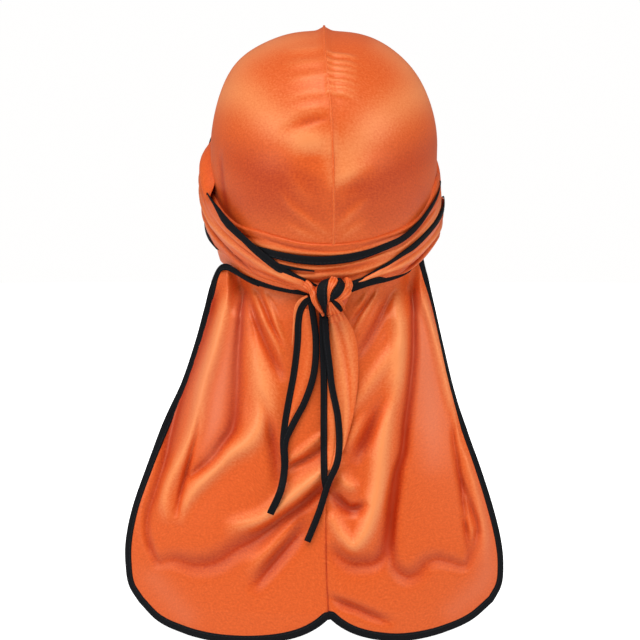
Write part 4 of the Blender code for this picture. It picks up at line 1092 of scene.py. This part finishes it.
def right_leaf(share, z):
    """Rolled edges, a bright fold running out from the knot, and two finer ones beside it."""
    drift = (-196 - z) / 100
    lift = 1.1 * (1 - np.abs(2 * share - 1) ** 4)
    for rise, start, speed, half_width in LEAF_FOLDS:
        lift = lift + rise * bell(share, start + speed * drift, half_width)
    return lift


tail_left_tapes = [
    tape("tail_left_outer_tape", [tail_tape(TAIL_LEFT, True)], "tail_left_binding_outer"),
    tape("tail_left_inner_tape", [tail_tape(TAIL_LEFT, False, -189.0)], "tail_left_binding_inner"),
]
# its fold mark over the middle paints the rim lighter: painted highlight
rim = tube("tail_left_rim_satin", tape_rings(*tail_tape(TAIL_LEFT_RIM, True))[0], SATIN_FACE, {"fold": 0.7})
settle(rim, "satin")
tail_right_tapes = [
    tape("tail_right_outer_tape", [tail_tape(TAIL_RIGHT_OUTER, True)], "tail_right_binding_outer"),
    tape("tail_right_inner_tape", [tail_tape(TAIL_RIGHT_INNER, False)], "tail_right_binding_inner"),
]
tail_left = tail_leaf("tail_left_satin", TAIL_LEFT, (-194.0, -282.0), 26, left_leaf, (3.0, 2.3))
tail_right = tail_leaf("tail_right_satin", TAIL_RIGHT_BODY, (-194.0, -303.0), 44, right_leaf, (0.0, 0.0))
for piece, label, tapes, flat, area in (
        (tail_left, "tail_left", tail_left_tapes + [rim], TAIL_FLAT_LEFT, 0.00130),
        (tail_right, "tail_right", tail_right_tapes, TAIL_FLAT_RIGHT, 0.00250)):
    settle(piece, "satin", label)

# View: a plain pale floor under plain studio light, which comes from a broad high lamp behind the camera
# and a soft box at each side. The floor fades into the pale surroundings away from the middle.
TARGET, CAMERA_DISTANCE, CAMERA_ELEVATION = np.array([0.0029, 0.0, -0.209]), 1.55, np.radians(5.0)
LENS, SENSOR = 121.1, 36.0
FLOOR_Z, FLOOR_RADIUS, FADE_FROM, FADE_TO = -0.60, 6.0, 0.4, 1.3
AIM_DROP = 0.2               # the lamps look at a point this far below the crown's top
LIGHTS = [
    # name, kind, location, size or angle, power
    ("key", "SUN", (0.18, 0.92, 1.60), 0.7, 2.25),
    ("left", "AREA", (1.25, 0.70, 0.25), 0.6, 5.5),
    ("right", "AREA", (-1.25, 0.70, 0.25), 0.6, 5.5),
]
collection = bpy.context.scene.collection

camera_data = bpy.data.cameras.new("camera")
camera_data.lens, camera_data.sensor_width = LENS, SENSOR
camera = bpy.data.objects.new("camera", camera_data)
camera.location = TARGET + CAMERA_DISTANCE * np.array([0, np.cos(CAMERA_ELEVATION), np.sin(CAMERA_ELEVATION)])
camera.rotation_euler = (np.pi / 2 - CAMERA_ELEVATION, 0, np.pi)
collection.objects.link(camera)
bpy.context.scene.camera = camera

floor_form = bmesh.new()
ring = bmesh.ops.create_circle(floor_form, cap_ends=True, segments=96, radius=FLOOR_RADIUS)
bmesh.ops.translate(floor_form, verts=ring["verts"], vec=(0, 0, FLOOR_Z))
floor_mesh = bpy.data.meshes.new("floor")
floor_form.to_mesh(floor_mesh)
floor_form.free()
floor = bpy.data.objects.new("floor", floor_mesh)
collection.objects.link(floor)
pale, tree, shader = material("pale_floor")
cloud = output(tree, "ShaderNodeTexNoise", {"Scale": 3.0})
colour = ramp(tree, cloud, (0.94, 0.94, 0.94, 1), (0.96, 0.96, 0.96, 1))
place = output(tree, "ShaderNodeTexCoord", (), "Object")
level = output(tree, "ShaderNodeVectorMath", {0: place, 1: (1, 1, 0)}, operation="MULTIPLY")
away = output(tree, "ShaderNodeVectorMath", {0: level}, "Value", operation="LENGTH")
far = output(tree, "ShaderNodeMapRange", {"Value": away, "From Min": FADE_FROM, "From Max": FADE_TO},
             interpolation_type="SMOOTHSTEP")
seen = output(tree, "ShaderNodeLightPath", (), "Is Camera Ray")
feed(tree, shader, {"Base Color": colour, "Roughness": 0.9,
                    "Emission Strength": maths(tree, "MULTIPLY", far, seen)})
floor_mesh.materials.append(pale)

for name, kind, location, size, power in LIGHTS:
    lamp = bpy.data.lights.new(name, kind)
    setattr(lamp, "angle" if kind == "SUN" else "size", size)
    lamp.energy = power
    holder = bpy.data.objects.new(name, lamp)
    holder.location = location
    aim = holder.location.copy()
    aim.z += AIM_DROP
    holder.rotation_euler = aim.to_track_quat("Z", "Y").to_euler()
    collection.objects.link(holder)

world = bpy.data.worlds.new("studio")
bpy.context.scene.world = world
world.use_nodes = True
sky = world.node_tree
seen = output(sky, "ShaderNodeLightPath", (), "Is Camera Ray")
strength = output(sky, "ShaderNodeMapRange", {"Value": seen, "To Min": 0.19, "To Max": 1.0})
feed(sky, sky.nodes["Background"], {"Color": (1.0, 0.995, 0.99, 1), "Strength": strength})
bpy.context.scene.view_settings.view_transform = "Standard"
